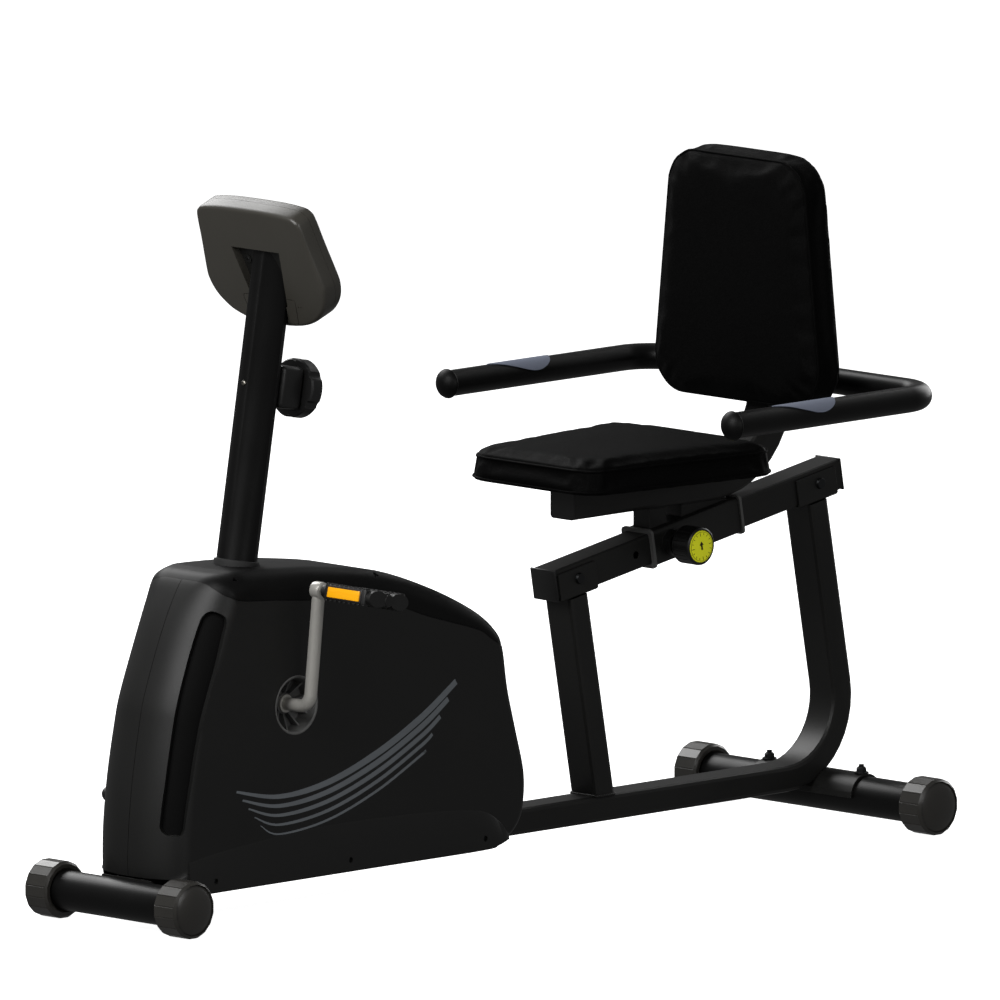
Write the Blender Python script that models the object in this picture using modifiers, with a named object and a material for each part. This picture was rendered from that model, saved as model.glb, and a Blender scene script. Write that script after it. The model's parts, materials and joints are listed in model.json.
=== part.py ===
"""Recumbent exercise bike: a bent steel frame on two stabilisers, a belt-driven magnetic flywheel inside a
plastic housing, a console on a raked mast, and a seat carriage that slides on an inclined rail.

Metres, +Z up. +X runs to the rear, +Y to the rider's right. The origin is on the floor under the centre.
"""

import math

import bmesh
import bpy
from mathutils import Matrix, Vector

# Base: every X below is measured back from the front stabiliser's axis, which is CENTRE_X ahead of the origin.
WHEELBASE = 1.406
CENTRE_X = 0.7077
GAP = 0.0003
STEEL_WALL = 0.002
PLASTIC_WALL = 0.0025

# Stabilisers and their end caps.
STABILISER_RADIUS = 0.0285
STABILISER_Z = 0.0405
CAP_FLATS = 12
CAP_LENGTH = 0.045
CAP_END = 0.005
FRONT_CAP_FACE = 0.153
REAR_CAP_FACE = 0.250
SADDLE_RADIUS = 0.0325
FRONT_SADDLE_HALF = 0.050
REAR_SADDLE_HALF = 0.103
SADDLE_BOLT_Y = 0.093

# Main beam, with the rear upright bent up out of it, and the front upright.
BEAM_WIDTH = 0.054
BEAM_HEIGHT = 0.038
BEAM_Z = 0.065
BEAM_START_X = 0.018
BEAM_CORNER_X = 1.459
BEAM_BEND_RADIUS = 0.110
BEAM_TOP = BEAM_Z + BEAM_HEIGHT / 2
UPRIGHT_LEAN = math.radians(10.4)
FRONT_UPRIGHT_X = 0.9515

# Seat rail: its own frame has x along the rail, starting at RAIL_ORIGIN, and z square to it.
RAIL_SLOPE = math.radians(9.8)
RAIL_ORIGIN = (0.9067, 0.4065)
RAIL_WIDTH = 0.048
RAIL_HEIGHT = 0.045
RAIL_ENDS = (-0.052, 0.534)
BRACKETS = {"front": (-0.050, 0.026, -0.010), "rear": (0.4417, 0.5216, 0.4877)}
BRACKET_PLATE = 0.003
BOLT_RADIUS = 0.005

# Seat carriage.
SLEEVE = (0.1438, 0.3202)
SLEEVE_WIDTH = 0.056
SLEEVE_HEIGHT = 0.053
BUSH_LINER = 0.020
BUSH_FLANGE = 0.0042
SEAT_STANDS = ((1.050, 1.083), (1.115, 1.205))
STAND_HALF = 0.0167
SEAT_BEAM_WIDTH = 0.048
SEAT_BEAM_DEPTH = 0.050
SEAT_BEAM_FRONT_X = 0.891
SEAT_BEAM_BOTTOM = 0.488
BACK_POST_X = 1.314
BACK_POST_TOP = 0.860
SEAT_BEAM_BEND = 0.130
CUSHION_BOTTOM = 0.5385
CUSHION_THICKNESS = 0.0455
SEAT_X = (0.8195, 1.170)
SEAT_HALVES = (0.126, 0.16625)
BACKREST_X = (1.237, 1.2867)
BACKREST_Z = (0.626, 0.976)
BACKREST_HALVES = (0.1695, 0.130)
BOARD_THICKNESS = 0.008
BOARD_INSET = 0.014

# Seat lock: a pull pin that drops into holes along the rail.
PIN_STATION = 0.1797
HOLE_PITCH = 0.0697
HOLE_COUNT = 3
PIN_RADIUS = 0.005
LOCK_KNOB_FACE = 0.088
LOCK_KNOB_RADIUS = 0.0275

# Handlebar round the seat, with a pulse plate on each arm.
HANDLEBAR_Z = 0.648
HANDLEBAR_HALF = 0.288
HANDLEBAR_FRONT_X = 0.945
HANDLEBAR_REAR_X = 1.3587
HANDLEBAR_RADIUS = 0.019
HANDLEBAR_BEND = 0.058
PULSE_X = (1.025, 1.148)

# Crank and drive.
CRANK_X, CRANK_Z = 0.270, 0.2975
CRANK_ARM = 0.170
CRANK_BAR_RADIUS = 0.0093
CRANK_ELBOW_Y = 0.1115
CRANK_EYE_Y = 0.130
CRANK_SHELL_RADIUS = 0.0225
CRANK_SHELL_HALF = 0.0325
PEDAL_Y = (0.173, 0.271)
PEDAL_SIZE = (0.082, 0.098, 0.026)
PEDAL_TILT = math.radians(12)
PULLEY_RADIUS = 0.100
SMALL_PULLEY_RADIUS = 0.018
BELT_Y = 0.042
BELT_WIDTH = 0.010
BELT_THICKNESS = 0.0025
FLYWHEEL_X, FLYWHEEL_Z = 0.545, 0.235
FLYWHEEL_RADIUS = 0.115
MAGNET_PIVOT_X, MAGNET_PIVOT_Z = 0.4146, 0.270

# Mast, console post and tension control: the post's frame has z up the post from POST_POINT.
POST_RAKE = math.radians(9.9)
POST_POINT = (0.2526, 0.6028)
POST_RADIUS = 0.0295
POST_BOTTOM = -0.1348
MAST_RADIUS = 0.0275
MAST_TOP = -0.070
TENSION_STATION = 0.1475
TENSION_KNOB_RADIUS = 0.0425

# Console: its frame has x toward the rider, y to the right, z up the back face from its top edge down.
CONSOLE_TILT = math.radians(21.3)
CONSOLE_TOP = (0.2495, 0.9986)
CONSOLE_HEIGHT = 0.183
CONSOLE_DEPTH = 0.039
CONSOLE_SPLIT = 0.024
CONSOLE_BUTTONS = {"button_mode": -0.035, "button_set": 0.0, "button_reset": 0.035}
BUTTON_Z = -0.137
BUTTON_RADIUS = 0.0075

# Housing side profile, (X, Z), and how far each stretch is rounded over: in from the profile, in from the side.
HOUSING_HALF = 0.085
HOUSING_FRONT = (
    (0.011, 0.071), (0.0097, 0.134), (0.016, 0.209), (0.0305, 0.284), (0.0432, 0.327), (0.0747, 0.400),
)
HOUSING_TOP = (
    (0.130, 0.494), (0.190, 0.496), (0.343, 0.486), (0.456, 0.468), (0.560, 0.432), (0.640, 0.393), (0.678, 0.362),
)
HOUSING_REAR = (
    (0.690, 0.335), (0.700, 0.275), (0.733, 0.150), (0.730, 0.100), (0.718, 0.075), (0.690, 0.054),
)
HOUSING_BOTTOM = ((0.647, 0.0455), (0.034, 0.0455))
FRONT_ROUNDING = (0.052, 0.078)
TOP_ROUNDING = (0.030, 0.030)
REAR_ROUNDING = (0.012, 0.012)
NO_ROUNDING = (0.0, 0.0)
ROUNDING_STEPS = 5
COVER_EDGE = (
    (0.118, 0.520), (0.126, 0.480), (0.169, 0.458), (0.294, 0.445), (0.492, 0.415), (0.577, 0.383), (0.638, 0.364),
    (0.672, 0.343), (0.750, 0.300),
)
CRANK_RECESS_RADIUS = 0.038
CRANK_RECESS_FLOOR = 0.052

# Colour, roughness and metallic value of each finish.
FINISHES = {
    "black_paint": ((0.020, 0.020, 0.020), 0.45, 0.0),
    "black_plastic": ((0.016, 0.016, 0.017), 0.50, 0.0),
    "grey_plastic": ((0.110, 0.108, 0.100), 0.50, 0.0),
    "cap_plastic": ((0.150, 0.140, 0.120), 0.50, 0.0),
    "vinyl": ((0.006, 0.006, 0.006), 0.60, 0.0),
    "plywood": ((0.420, 0.270, 0.140), 0.70, 0.0),
    "steel": ((0.420, 0.410, 0.390), 0.30, 1.0),
    "chrome": ((0.620, 0.620, 0.640), 0.15, 1.0),
    "cast_iron": ((0.100, 0.100, 0.100), 0.60, 1.0),
    "rubber": ((0.012, 0.012, 0.012), 0.80, 0.0),
    "yellow_plastic": ((0.700, 0.690, 0.010), 0.45, 0.0),
    "orange_reflector": ((1.000, 0.400, 0.000), 0.20, 0.0),
    "display": ((0.230, 0.270, 0.220), 0.10, 0.0),
}

HALF_TURN = math.pi
QUARTER_TURN = math.pi / 2
UPRIGHT = Matrix.Identity(4)
TO_RIGHT = Matrix.Rotation(-QUARTER_TURN, 4, "X")
TO_LEFT = Matrix.Rotation(QUARTER_TURN, 4, "X")
TO_REAR = Matrix.Rotation(QUARTER_TURN, 4, "Y")


def at(x, y, z):
    """A place on the bike, with x measured back from the front stabiliser."""
    return Matrix.Translation((x - CENTRE_X, y, z))


RAIL = at(RAIL_ORIGIN[0], 0, RAIL_ORIGIN[1]) @ Matrix.Rotation(-RAIL_SLOPE, 4, "Y")
POST = at(POST_POINT[0], 0, POST_POINT[1]) @ Matrix.Rotation(POST_RAKE, 4, "Y")
CONSOLE = at(CONSOLE_TOP[0], 0, CONSOLE_TOP[1]) @ Matrix.Rotation(-CONSOLE_TILT, 4, "Y")
SIDES = {"left": -1, "right": 1}


def clear_scene():
    for obj in list(bpy.data.objects):
        bpy.data.objects.remove(obj)


def new_collection(name):
    collection = bpy.data.collections.new(name)
    bpy.context.scene.collection.children.link(collection)
    return collection


clear_scene()
PARTS = new_collection("recumbent_exercise_bike")
CUTTERS = new_collection("cutters")


def finish_material(name, finish):
    colour, roughness, metallic = FINISHES[finish]
    material = bpy.data.materials.new(f"{name}_{finish}")
    material.use_nodes = True
    shader = material.node_tree.nodes["Principled BSDF"]
    shader.inputs["Base Color"].default_value = (*colour, 1.0)
    shader.inputs["Roughness"].default_value = roughness
    shader.inputs["Metallic"].default_value = metallic
    return material


def new_object(name, bm, finish, place):
    """An object from a bmesh, placed by its matrix."""
    mesh = bpy.data.meshes.new(name)
    bm.to_mesh(mesh)
    bm.free()
    mesh.shade_smooth()
    mesh.set_sharp_from_angle(angle=math.radians(35))
    obj = bpy.data.objects.new(name, mesh)
    mesh.materials.append(finish_material(name, finish))
    PARTS.objects.link(obj)
    obj.matrix_world = place
    return obj


def as_tool(obj):
    """Turns an object into a cutter, which is not part of the bike."""
    PARTS.objects.unlink(obj)
    CUTTERS.objects.link(obj)
    obj.hide_render = True
    obj.display_type = "WIRE"
    return obj


def combine(obj, tool, operation):
    modifier = obj.modifiers.new(f"{operation.lower()} {tool.name}", "BOOLEAN")
    modifier.operation = operation
    modifier.object = tool
    modifier.solver = "EXACT"


def cut(obj, *tools):
    for tool in tools:
        combine(obj, as_tool(tool) if tool.name in PARTS.objects else tool, "DIFFERENCE")


def join(obj, *tools):
    for tool in tools:
        combine(obj, as_tool(tool), "UNION")


def add_wall(obj, thickness):
    """Gives an open skin its wall, inward from the skin."""
    wall = obj.modifiers.new("wall", "SOLIDIFY")
    wall.thickness = thickness
    wall.offset = -1
    wall.use_even_offset = True
    wall.use_rim = True


def box(name, size, finish, place, bevel=0.0):
    bm = bmesh.new()
    bmesh.ops.create_cube(bm, size=1)
    bmesh.ops.scale(bm, vec=size, verts=bm.verts)
    if bevel:
        bmesh.ops.bevel(bm, geom=bm.edges, offset=bevel, segments=2, profile=0.5, affect="EDGES", material=-1)
    return new_object(name, bm, finish, place)


def cylinder(name, radius, length, finish, place, segments=24):
    """A round bar along the local z, centred."""
    bm = bmesh.new()
    bmesh.ops.create_cone(
        bm, cap_ends=True, segments=segments, radius1=radius, radius2=radius, depth=length
    )
    return new_object(name, bm, finish, place)


def turned(name, profile, steps, finish, place, closed=False, turn=0.0):
    """A turned piece about the local z. The profile, (radius, height), runs down its outer side."""
    bm = bmesh.new()
    verts = [bm.verts.new((r * math.cos(turn), r * math.sin(turn), z)) for r, z in profile]
    for start, end in zip(verts, verts[1:]):
        bm.edges.new((start, end))
    if closed:
        bm.edges.new((verts[-1], verts[0]))
    obj = new_object(name, bm, finish, place)
    screw = obj.modifiers.new("turn", "SCREW")
    screw.axis = "Z"
    screw.steps = steps
    screw.render_steps = steps
    screw.use_merge_vertices = True
    screw.merge_threshold = 0.00001
    return obj


def ring_profile(outer, inner, low, high):
    return [(outer, high), (outer, low), (inner, low), (inner, high)]


def arc(centre, radius, start, end, steps):
    """Points along an arc, with angles in degrees from the first axis to the second."""
    angles = [math.radians(start + (end - start) * i / steps) for i in range(steps + 1)]
    return [(centre[0] + radius * math.cos(a), centre[1] + radius * math.sin(a)) for a in angles]


def rounded(points, radius, steps, closed=True):
    """A path of Vectors with its corners rounded."""
    points = [Vector(p) for p in points]
    result = []
    for i, corner in enumerate(points):
        if not closed and i in (0, len(points) - 1):
            result.append(corner)
            continue
        to_last = (points[i - 1] - corner).normalized()
        to_next = (points[(i + 1) % len(points)] - corner).normalized()
        half = to_last.angle(to_next) / 2
        centre = corner + (to_last + to_next).normalized() * (radius / math.sin(half))
        first = corner + to_last * (radius / math.tan(half)) - centre
        last = corner + to_next * (radius / math.tan(half)) - centre
        turn = first.angle(last)
        for step in range(steps + 1):
            share = step / steps
            near = math.sin((1 - share) * turn) * first + math.sin(share * turn) * last
            result.append(centre + near / math.sin(turn))
    return result


def section(width, height, radius=0.006):
    """A rounded rectangle, width along y and height along z, as (y, z)."""
    corners = [(-width / 2, -height / 2), (width / 2, -height / 2), (width / 2, height / 2), (-width / 2, height / 2)]
    return [tuple(p)[:2] for p in rounded([(*c, 0) for c in corners], radius, 2)]


def curve_mesh(name, curve, finish, place):
    """The mesh of a curve, with its caps welded on."""
    guide = bpy.data.objects.new(name + "_guide", curve)
    PARTS.objects.link(guide)
    graph = bpy.context.evaluated_depsgraph_get()
    mesh = bpy.data.meshes.new_from_object(guide.evaluated_get(graph))
    bpy.data.objects.remove(guide)
    bm = bmesh.new()
    bm.from_mesh(mesh)
    bmesh.ops.remove_doubles(bm, verts=bm.verts, dist=0.00001)
    return new_object(name, bm, finish, place)


def slab(name, outlines, thickness, finish, place):
    """A flat plate in the local xy plane; any outline after the first is a hole."""
    curve = bpy.data.curves.new(name, "CURVE")
    curve.dimensions = "2D"
    curve.fill_mode = "BOTH"
    curve.extrude = thickness / 2
    for outline in outlines:
        spline = curve.splines.new("POLY")
        spline.points.add(len(outline) - 1)
        spline.use_cyclic_u = True
        for point, (x, y) in zip(spline.points, (p[:2] for p in outline)):
            point.co = (x, y, 0, 1)
    return curve_mesh(name, curve, finish, place)


def side_plate(name, outline, thickness, finish, y):
    """A plate that stands along the bike, its outline given as (X, Z)."""
    flat = [(x - CENTRE_X, -z) for x, z in outline]
    return slab(name, [flat], thickness, finish, Matrix.Translation((0, y, 0)) @ TO_RIGHT)


def pipe(name, path, radius, finish, place=UPRIGHT, wall=0.0, resolution=4):
    curve = bpy.data.curves.new(name, "CURVE")
    curve.dimensions = "3D"
    curve.bevel_depth = radius
    curve.bevel_resolution = resolution
    curve.use_fill_caps = not wall
    spline = curve.splines.new("POLY")
    spline.points.add(len(path) - 1)
    for point, place_on_path in zip(spline.points, path):
        point.co = (*place_on_path, 1)
    obj = curve_mesh(name, curve, finish, place)
    if wall:
        add_wall(obj, wall)
    return obj


def sweep(name, ring, runs, finish, place, wall=STEEL_WALL):
    """A hollow section carried along straight runs (length) and bends (radius, angle) in the xz plane."""
    bm = bmesh.new()
    verts = [bm.verts.new((0, y, z)) for y, z in ring]
    edges = [bm.edges.new((a, b)) for a, b in zip(verts, verts[1:] + verts[:1])]
    heading, position = 0.0, Vector((0, 0, 0))
    for run in runs:
        if isinstance(run, tuple):
            radius, angle = run
            centre = position + radius * Vector((-math.sin(heading), 0, math.cos(heading)))
            steps = max(2, round(math.degrees(angle) / 9))
            made = bmesh.ops.spin(
                bm, geom=edges, cent=centre, axis=(0, -1, 0), angle=angle, steps=steps, use_duplicate=False
            )
            edges = [e for e in made["geom_last"] if isinstance(e, bmesh.types.BMEdge)]
            heading += angle
            position = centre + radius * Vector((math.sin(heading), 0, -math.cos(heading)))
        else:
            made = bmesh.ops.extrude_edge_only(bm, edges=edges)["geom"]
            edges = [e for e in made if isinstance(e, bmesh.types.BMEdge)]
            shift = run * Vector((math.cos(heading), 0, math.sin(heading)))
            bmesh.ops.translate(bm, vec=shift, verts=[v for v in made if isinstance(v, bmesh.types.BMVert)])
            position += shift
    bmesh.ops.recalc_face_normals(bm, faces=bm.faces)
    obj = new_object(name, bm, finish, place)
    add_wall(obj, wall)
    return obj


def cup(name, outline, depth, bevel, finish, place, wall=PLASTIC_WALL):
    """A shell with its face in the local yz plane at x = 0 and its rim at x = depth."""
    bm = bmesh.new()
    face = bm.faces.new([bm.verts.new((0, y, z)) for y, z in outline])
    boundary = list(face.edges)
    made = bmesh.ops.extrude_edge_only(bm, edges=boundary)["geom"]
    bmesh.ops.translate(bm, vec=(depth, 0, 0), verts=[v for v in made if isinstance(v, bmesh.types.BMVert)])
    bmesh.ops.recalc_face_normals(bm, faces=bm.faces)
    if (face.normal.x > 0) == (depth > 0):
        bmesh.ops.reverse_faces(bm, faces=bm.faces)
    bmesh.ops.bevel(bm, geom=boundary, offset=bevel, segments=2, profile=0.5, affect="EDGES", material=-1)
    obj = new_object(name, bm, finish, place)
    add_wall(obj, wall)
    return obj


# ---- Base frame ------------------------------------------------------------------------------------


def upright_length(foot_x, foot_z):
    """From a foot, up the lean, to just under the rail bracket."""
    normal = Vector((-math.sin(RAIL_SLOPE), math.cos(RAIL_SLOPE)))
    under = RAIL_HEIGHT / 2 + BRACKET_PLATE + 3 * GAP
    return (Vector(RAIL_ORIGIN) - Vector((foot_x, foot_z))).dot(normal) - under


def floor_tool(name):
    """Everything below the top of the main beam."""
    size = (2 * WHEELBASE, 1, BEAM_TOP + GAP)
    return as_tool(box(name, size, "steel", Matrix.Translation((0, 0, (BEAM_TOP + GAP) / 2))))


def stabiliser(end, x, cap_face):
    half = cap_face - CAP_END - 2 * GAP
    circle = arc((0, 0), STABILISER_RADIUS, 0, 360, 24)[:-1]
    place = at(x, -half, STABILISER_Z) @ Matrix.Rotation(QUARTER_TURN, 4, "Z")
    sweep(f"{end}_stabiliser", circle, [2 * half], "black_paint", place)
    flat_radius = STABILISER_Z / math.cos(HALF_TURN / CAP_FLATS)
    bore = (STABILISER_RADIUS + GAP) / math.cos(HALF_TURN / CAP_FLATS)
    profile = [
        (0, CAP_LENGTH), (flat_radius - 0.007, CAP_LENGTH), (flat_radius, CAP_LENGTH - 0.006), (flat_radius, 0),
        (bore, 0), (bore, CAP_LENGTH - CAP_END), (0, CAP_LENGTH - CAP_END),
    ]
    for side, sign in SIDES.items():
        outward = TO_RIGHT if sign > 0 else TO_LEFT
        place = at(x, sign * (cap_face - CAP_LENGTH), STABILISER_Z) @ outward
        turned(f"{end}_cap_{side}", profile, CAP_FLATS, "cap_plastic", place, turn=HALF_TURN / CAP_FLATS)


def saddle(name, x, half, bolt_y=0.0):
    """A half pipe over the stabiliser, which the frame stands on."""
    outline = arc((x, STABILISER_Z), SADDLE_RADIUS, 0, 180, 12)
    outline += arc((x, STABILISER_Z), STABILISER_RADIUS + GAP, 180, 0, 12)
    plate = side_plate(name, outline, 2 * half, "black_paint", 0)
    if bolt_y:
        for side, sign in SIDES.items():
            place = at(x, sign * bolt_y, STABILISER_Z + SADDLE_RADIUS + 0.003)
            join(plate, cylinder(f"{name}_bolt_{side}", 0.006, 0.012, "black_paint", place, 12))


def saddle_clearance(name, x):
    place = at(x, 0, STABILISER_Z) @ TO_RIGHT
    return cylinder(name, SADDLE_RADIUS + 2 * GAP, 0.6, "steel", place, 32)


def main_beam():
    turn = QUARTER_TURN + UPRIGHT_LEAN
    tangent = BEAM_BEND_RADIUS * math.tan(turn / 2)
    level = BEAM_CORNER_X - tangent - BEAM_START_X
    rise = upright_length(BEAM_CORNER_X, BEAM_Z) - tangent
    runs = [level, (BEAM_BEND_RADIUS, turn), rise]
    beam = sweep("main_beam", section(BEAM_WIDTH, BEAM_HEIGHT), runs, "black_paint", at(BEAM_START_X, 0, BEAM_Z))
    cut(beam, saddle_clearance("front_saddle_cope", 0), saddle_clearance("rear_saddle_cope", WHEELBASE))


def front_upright():
    sunk = 0.012
    foot = BEAM_TOP - sunk
    foot_x = FRONT_UPRIGHT_X + sunk * math.tan(UPRIGHT_LEAN)
    length = upright_length(foot_x, foot)
    place = at(foot_x, 0, foot) @ Matrix.Rotation(-QUARTER_TURN - UPRIGHT_LEAN, 4, "Y")
    tube = sweep("front_upright", section(BEAM_WIDTH, BEAM_HEIGHT), [length], "black_paint", place)
    cut(tube, floor_tool("front_upright_foot"))


def cross_hole(name, distance, radius, reach=0.2, y=0.0):
    """A round hole through the rail from side to side."""
    place = RAIL @ Matrix.Translation((distance, y, 0)) @ TO_RIGHT
    return cylinder(name, radius, reach, "steel", place, 16)


def rail_bracket(end):
    start, finish, bolt = BRACKETS[end]
    half_width = RAIL_WIDTH / 2 + GAP
    base = RAIL_HEIGHT / 2 + GAP
    channel = [
        (-half_width, 0.016), (-half_width, -base), (half_width, -base), (half_width, 0.016),
        (half_width + BRACKET_PLATE, 0.016), (half_width + BRACKET_PLATE, 0.003 - base - BRACKET_PLATE),
        (half_width + BRACKET_PLATE - 0.003, -base - BRACKET_PLATE),
        (-half_width - BRACKET_PLATE + 0.003, -base - BRACKET_PLATE),
        (-half_width - BRACKET_PLATE, 0.003 - base - BRACKET_PLATE), (-half_width - BRACKET_PLATE, 0.016),
    ]
    turned_up = Matrix(((0, 0, 1, 0), (1, 0, 0, 0), (0, 1, 0, 0), (0, 0, 0, 1)))
    place = RAIL @ Matrix.Translation(((start + finish) / 2, 0, 0)) @ turned_up
    bracket = slab(f"{end}_rail_bracket", [channel], finish - start, "black_paint", place)
    hole = as_tool(cross_hole(f"{end}_bolt_hole", bolt, BOLT_RADIUS + GAP))
    cut(bracket, hole)
    head = half_width + BRACKET_PLATE + GAP
    profile = [
        (0, head + 0.004), (0.0075, head + 0.004), (0.0085, head), (BOLT_RADIUS, head), (BOLT_RADIUS, -head),
        (0.0085, -head), (0.0085, -head - 0.005), (0, -head - 0.005),
    ]
    place = RAIL @ Matrix.Translation((bolt, 0, 0)) @ TO_LEFT
    turned(f"{end}_rail_bolt", profile, 16, "steel", place)
    return hole


def seat_rail(bolt_holes):
    start, finish = RAIL_ENDS
    place = RAIL @ Matrix.Translation((start, 0, 0))
    rail = sweep("seat_rail", section(RAIL_WIDTH, RAIL_HEIGHT, 0.004), [finish - start], "black_paint", place)
    cut(rail, *bolt_holes)
    for index in range(HOLE_COUNT):
        distance = PIN_STATION + (index - HOLE_COUNT // 2) * HOLE_PITCH
        cut(rail, cross_hole(f"index_hole_{index + 1}", distance, PIN_RADIUS + 2 * GAP, 0.03, -RAIL_WIDTH / 2))
    for end, distance, inward in (("front", start, 1), ("rear", finish, -1)):
        flange = RAIL @ Matrix.Translation((distance - inward * (GAP + 0.0015), 0, 0))
        plug = box(f"rail_plug_{end}", (0.003, RAIL_WIDTH + 0.002, RAIL_HEIGHT + 0.002), "black_plastic", flange, 0.001)
        inner = 2 * (STEEL_WALL + GAP)
        stub = RAIL @ Matrix.Translation((distance + inward * 0.008, 0, 0))
        size = (0.021, RAIL_WIDTH - inner - 0.003, RAIL_HEIGHT - inner - 0.003)
        join(plug, box(f"rail_plug_{end}_stub", size, "black_plastic", stub))


# ---- Drive -----------------------------------------------------------------------------------------


def mast():
    """The lower mast, welded to the beam; the console post slips over it."""
    foot = (BEAM_TOP - POST_POINT[1]) / math.cos(POST_RAKE) - 0.012
    circle = arc((0, 0), MAST_RADIUS, 0, 360, 24)[:-1]
    place = POST @ Matrix.Translation((0, 0, foot)) @ Matrix.Rotation(-QUARTER_TURN, 4, "Y")
    tube = sweep("mast", circle, [MAST_TOP - foot], "black_paint", place)
    cut(tube, floor_tool("mast_foot"))


def mast_tool(name, radius):
    return cylinder(name, radius, 2.0, "steel", POST, 32)


def crank_shell():
    """The bearing tube of the crank, with the web that welds it to the mast."""
    axis = at(CRANK_X, 0, CRANK_Z) @ TO_RIGHT
    bore = CRANK_SHELL_RADIUS - 0.004
    profile = ring_profile(CRANK_SHELL_RADIUS, bore, -CRANK_SHELL_HALF, CRANK_SHELL_HALF)
    shell = turned("crank_shell", profile, 24, "black_paint", axis, closed=True)
    web = box("crank_shell_web", (0.060, 0.036, 0.034), "black_paint", at(CRANK_X - 0.035, 0, CRANK_Z))
    cut(web, mast_tool("web_mast_cope", MAST_RADIUS + GAP))
    cut(web, cylinder("web_shell_cope", CRANK_SHELL_RADIUS - 0.002, 0.2, "steel", axis))
    front_trim = at(CRANK_X - 0.120, 0, CRANK_Z)
    cut(web, box("web_front_trim", (0.110, 0.2, 0.2), "steel", front_trim))
    join(shell, web)
    for side, sign in SIDES.items():
        flange = CRANK_SHELL_HALF + GAP
        profile = [
            (CRANK_SHELL_RADIUS - 0.001, flange + 0.0024), (CRANK_SHELL_RADIUS - 0.001, flange),
            (bore - GAP, flange), (bore - GAP, 0.018), (CRANK_BAR_RADIUS + 0.0004, 0.018),
            (CRANK_BAR_RADIUS + 0.0004, flange + 0.0024),
        ]
        outward = TO_RIGHT if sign > 0 else TO_LEFT
        place = at(CRANK_X, 0, CRANK_Z) @ outward
        turned(f"crank_bearing_{side}", profile, 16, "steel", place, closed=True)


def crank():
    """One bent bar: lower right eye, shaft, upper left eye."""
    past_eye = CRANK_ARM + 0.010
    splay = CRANK_ELBOW_Y + (CRANK_EYE_Y - CRANK_ELBOW_Y) * past_eye / CRANK_ARM
    corners = [(0, splay, -past_eye), (0, CRANK_ELBOW_Y, 0), (0, -CRANK_ELBOW_Y, 0), (0, -splay, past_eye)]
    path = rounded(corners, 0.022, 6, closed=False)
    pipe("crank", path, CRANK_BAR_RADIUS, "chrome", at(CRANK_X, 0, CRANK_Z), resolution=3)
    half = BELT_WIDTH / 2 + 0.001
    profile = [
        (PULLEY_RADIUS, half), (PULLEY_RADIUS, -half), (PULLEY_RADIUS - 0.010, -half), (PULLEY_RADIUS - 0.012, -0.002),
        (0.022, -0.002), (0.020, -half), (CRANK_BAR_RADIUS + GAP, -half), (CRANK_BAR_RADIUS + GAP, half),
        (0.020, half), (0.022, 0.002), (PULLEY_RADIUS - 0.012, 0.002), (PULLEY_RADIUS - 0.010, half),
    ]
    turned("crank_pulley", profile, 28, "black_plastic", at(CRANK_X, BELT_Y, CRANK_Z) @ TO_RIGHT, closed=True)


def pedal(side, sign):
    spindle_z = CRANK_Z - sign * CRANK_ARM
    inner = CRANK_EYE_Y + CRANK_BAR_RADIUS + 0.0015
    outward = TO_RIGHT if sign > 0 else TO_LEFT
    profile = [
        (0, PEDAL_Y[1] - 0.006), (0.0055, PEDAL_Y[1] - 0.006), (0.0055, PEDAL_Y[0]),
        (0.009, PEDAL_Y[0] - 0.002), (0.009, inner), (0, inner),
    ]
    turned(f"pedal_spindle_{side}", profile, 16, "steel", at(CRANK_X, 0, spindle_z) @ outward)
    middle = at(CRANK_X, sign * sum(PEDAL_Y) / 2, spindle_z) @ Matrix.Rotation(PEDAL_TILT, 4, "Y")
    body = box(f"pedal_{side}", PEDAL_SIZE, "black_plastic", middle, 0.003)
    for end, x in (("front", -0.0225), ("rear", 0.0225)):
        window = middle @ Matrix.Translation((x, 0, 0))
        cut(body, box(f"pedal_{side}_{end}_window", (0.018, 0.072, 0.1), "steel", window))
    bore = middle @ TO_RIGHT
    cut(body, cylinder(f"pedal_{side}_bore", 0.0062, 0.2, "steel", bore, 16))
    face = middle @ Matrix.Translation((-PEDAL_SIZE[0] / 2 - 0.0018, 0, 0))
    box(f"pedal_reflector_{side}", (0.003, 0.063, 0.0145), "orange_reflector", face, 0.0008)


def drive_belt():
    """A flat loop round both pulleys: two arcs and two straight runs."""
    first, second = Vector((CRANK_X, CRANK_Z)), Vector((FLYWHEEL_X, FLYWHEEL_Z))
    reach = (second - first).length
    lean = math.degrees(math.atan2(second.y - first.y, second.x - first.x))
    loops = []
    for grow in (GAP + BELT_THICKNESS, GAP):
        wrap = math.degrees(math.acos((PULLEY_RADIUS - SMALL_PULLEY_RADIUS) / reach))
        loop = arc(first, PULLEY_RADIUS + grow, lean + wrap, lean + 360 - wrap, 28)
        loop += arc(second, SMALL_PULLEY_RADIUS + grow, lean - wrap, lean + wrap, 8)
        loops.append([(x - CENTRE_X, -z) for x, z in loop])
    slab("drive_belt", loops, BELT_WIDTH, "rubber", Matrix.Translation((0, BELT_Y, 0)) @ TO_RIGHT)


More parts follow.
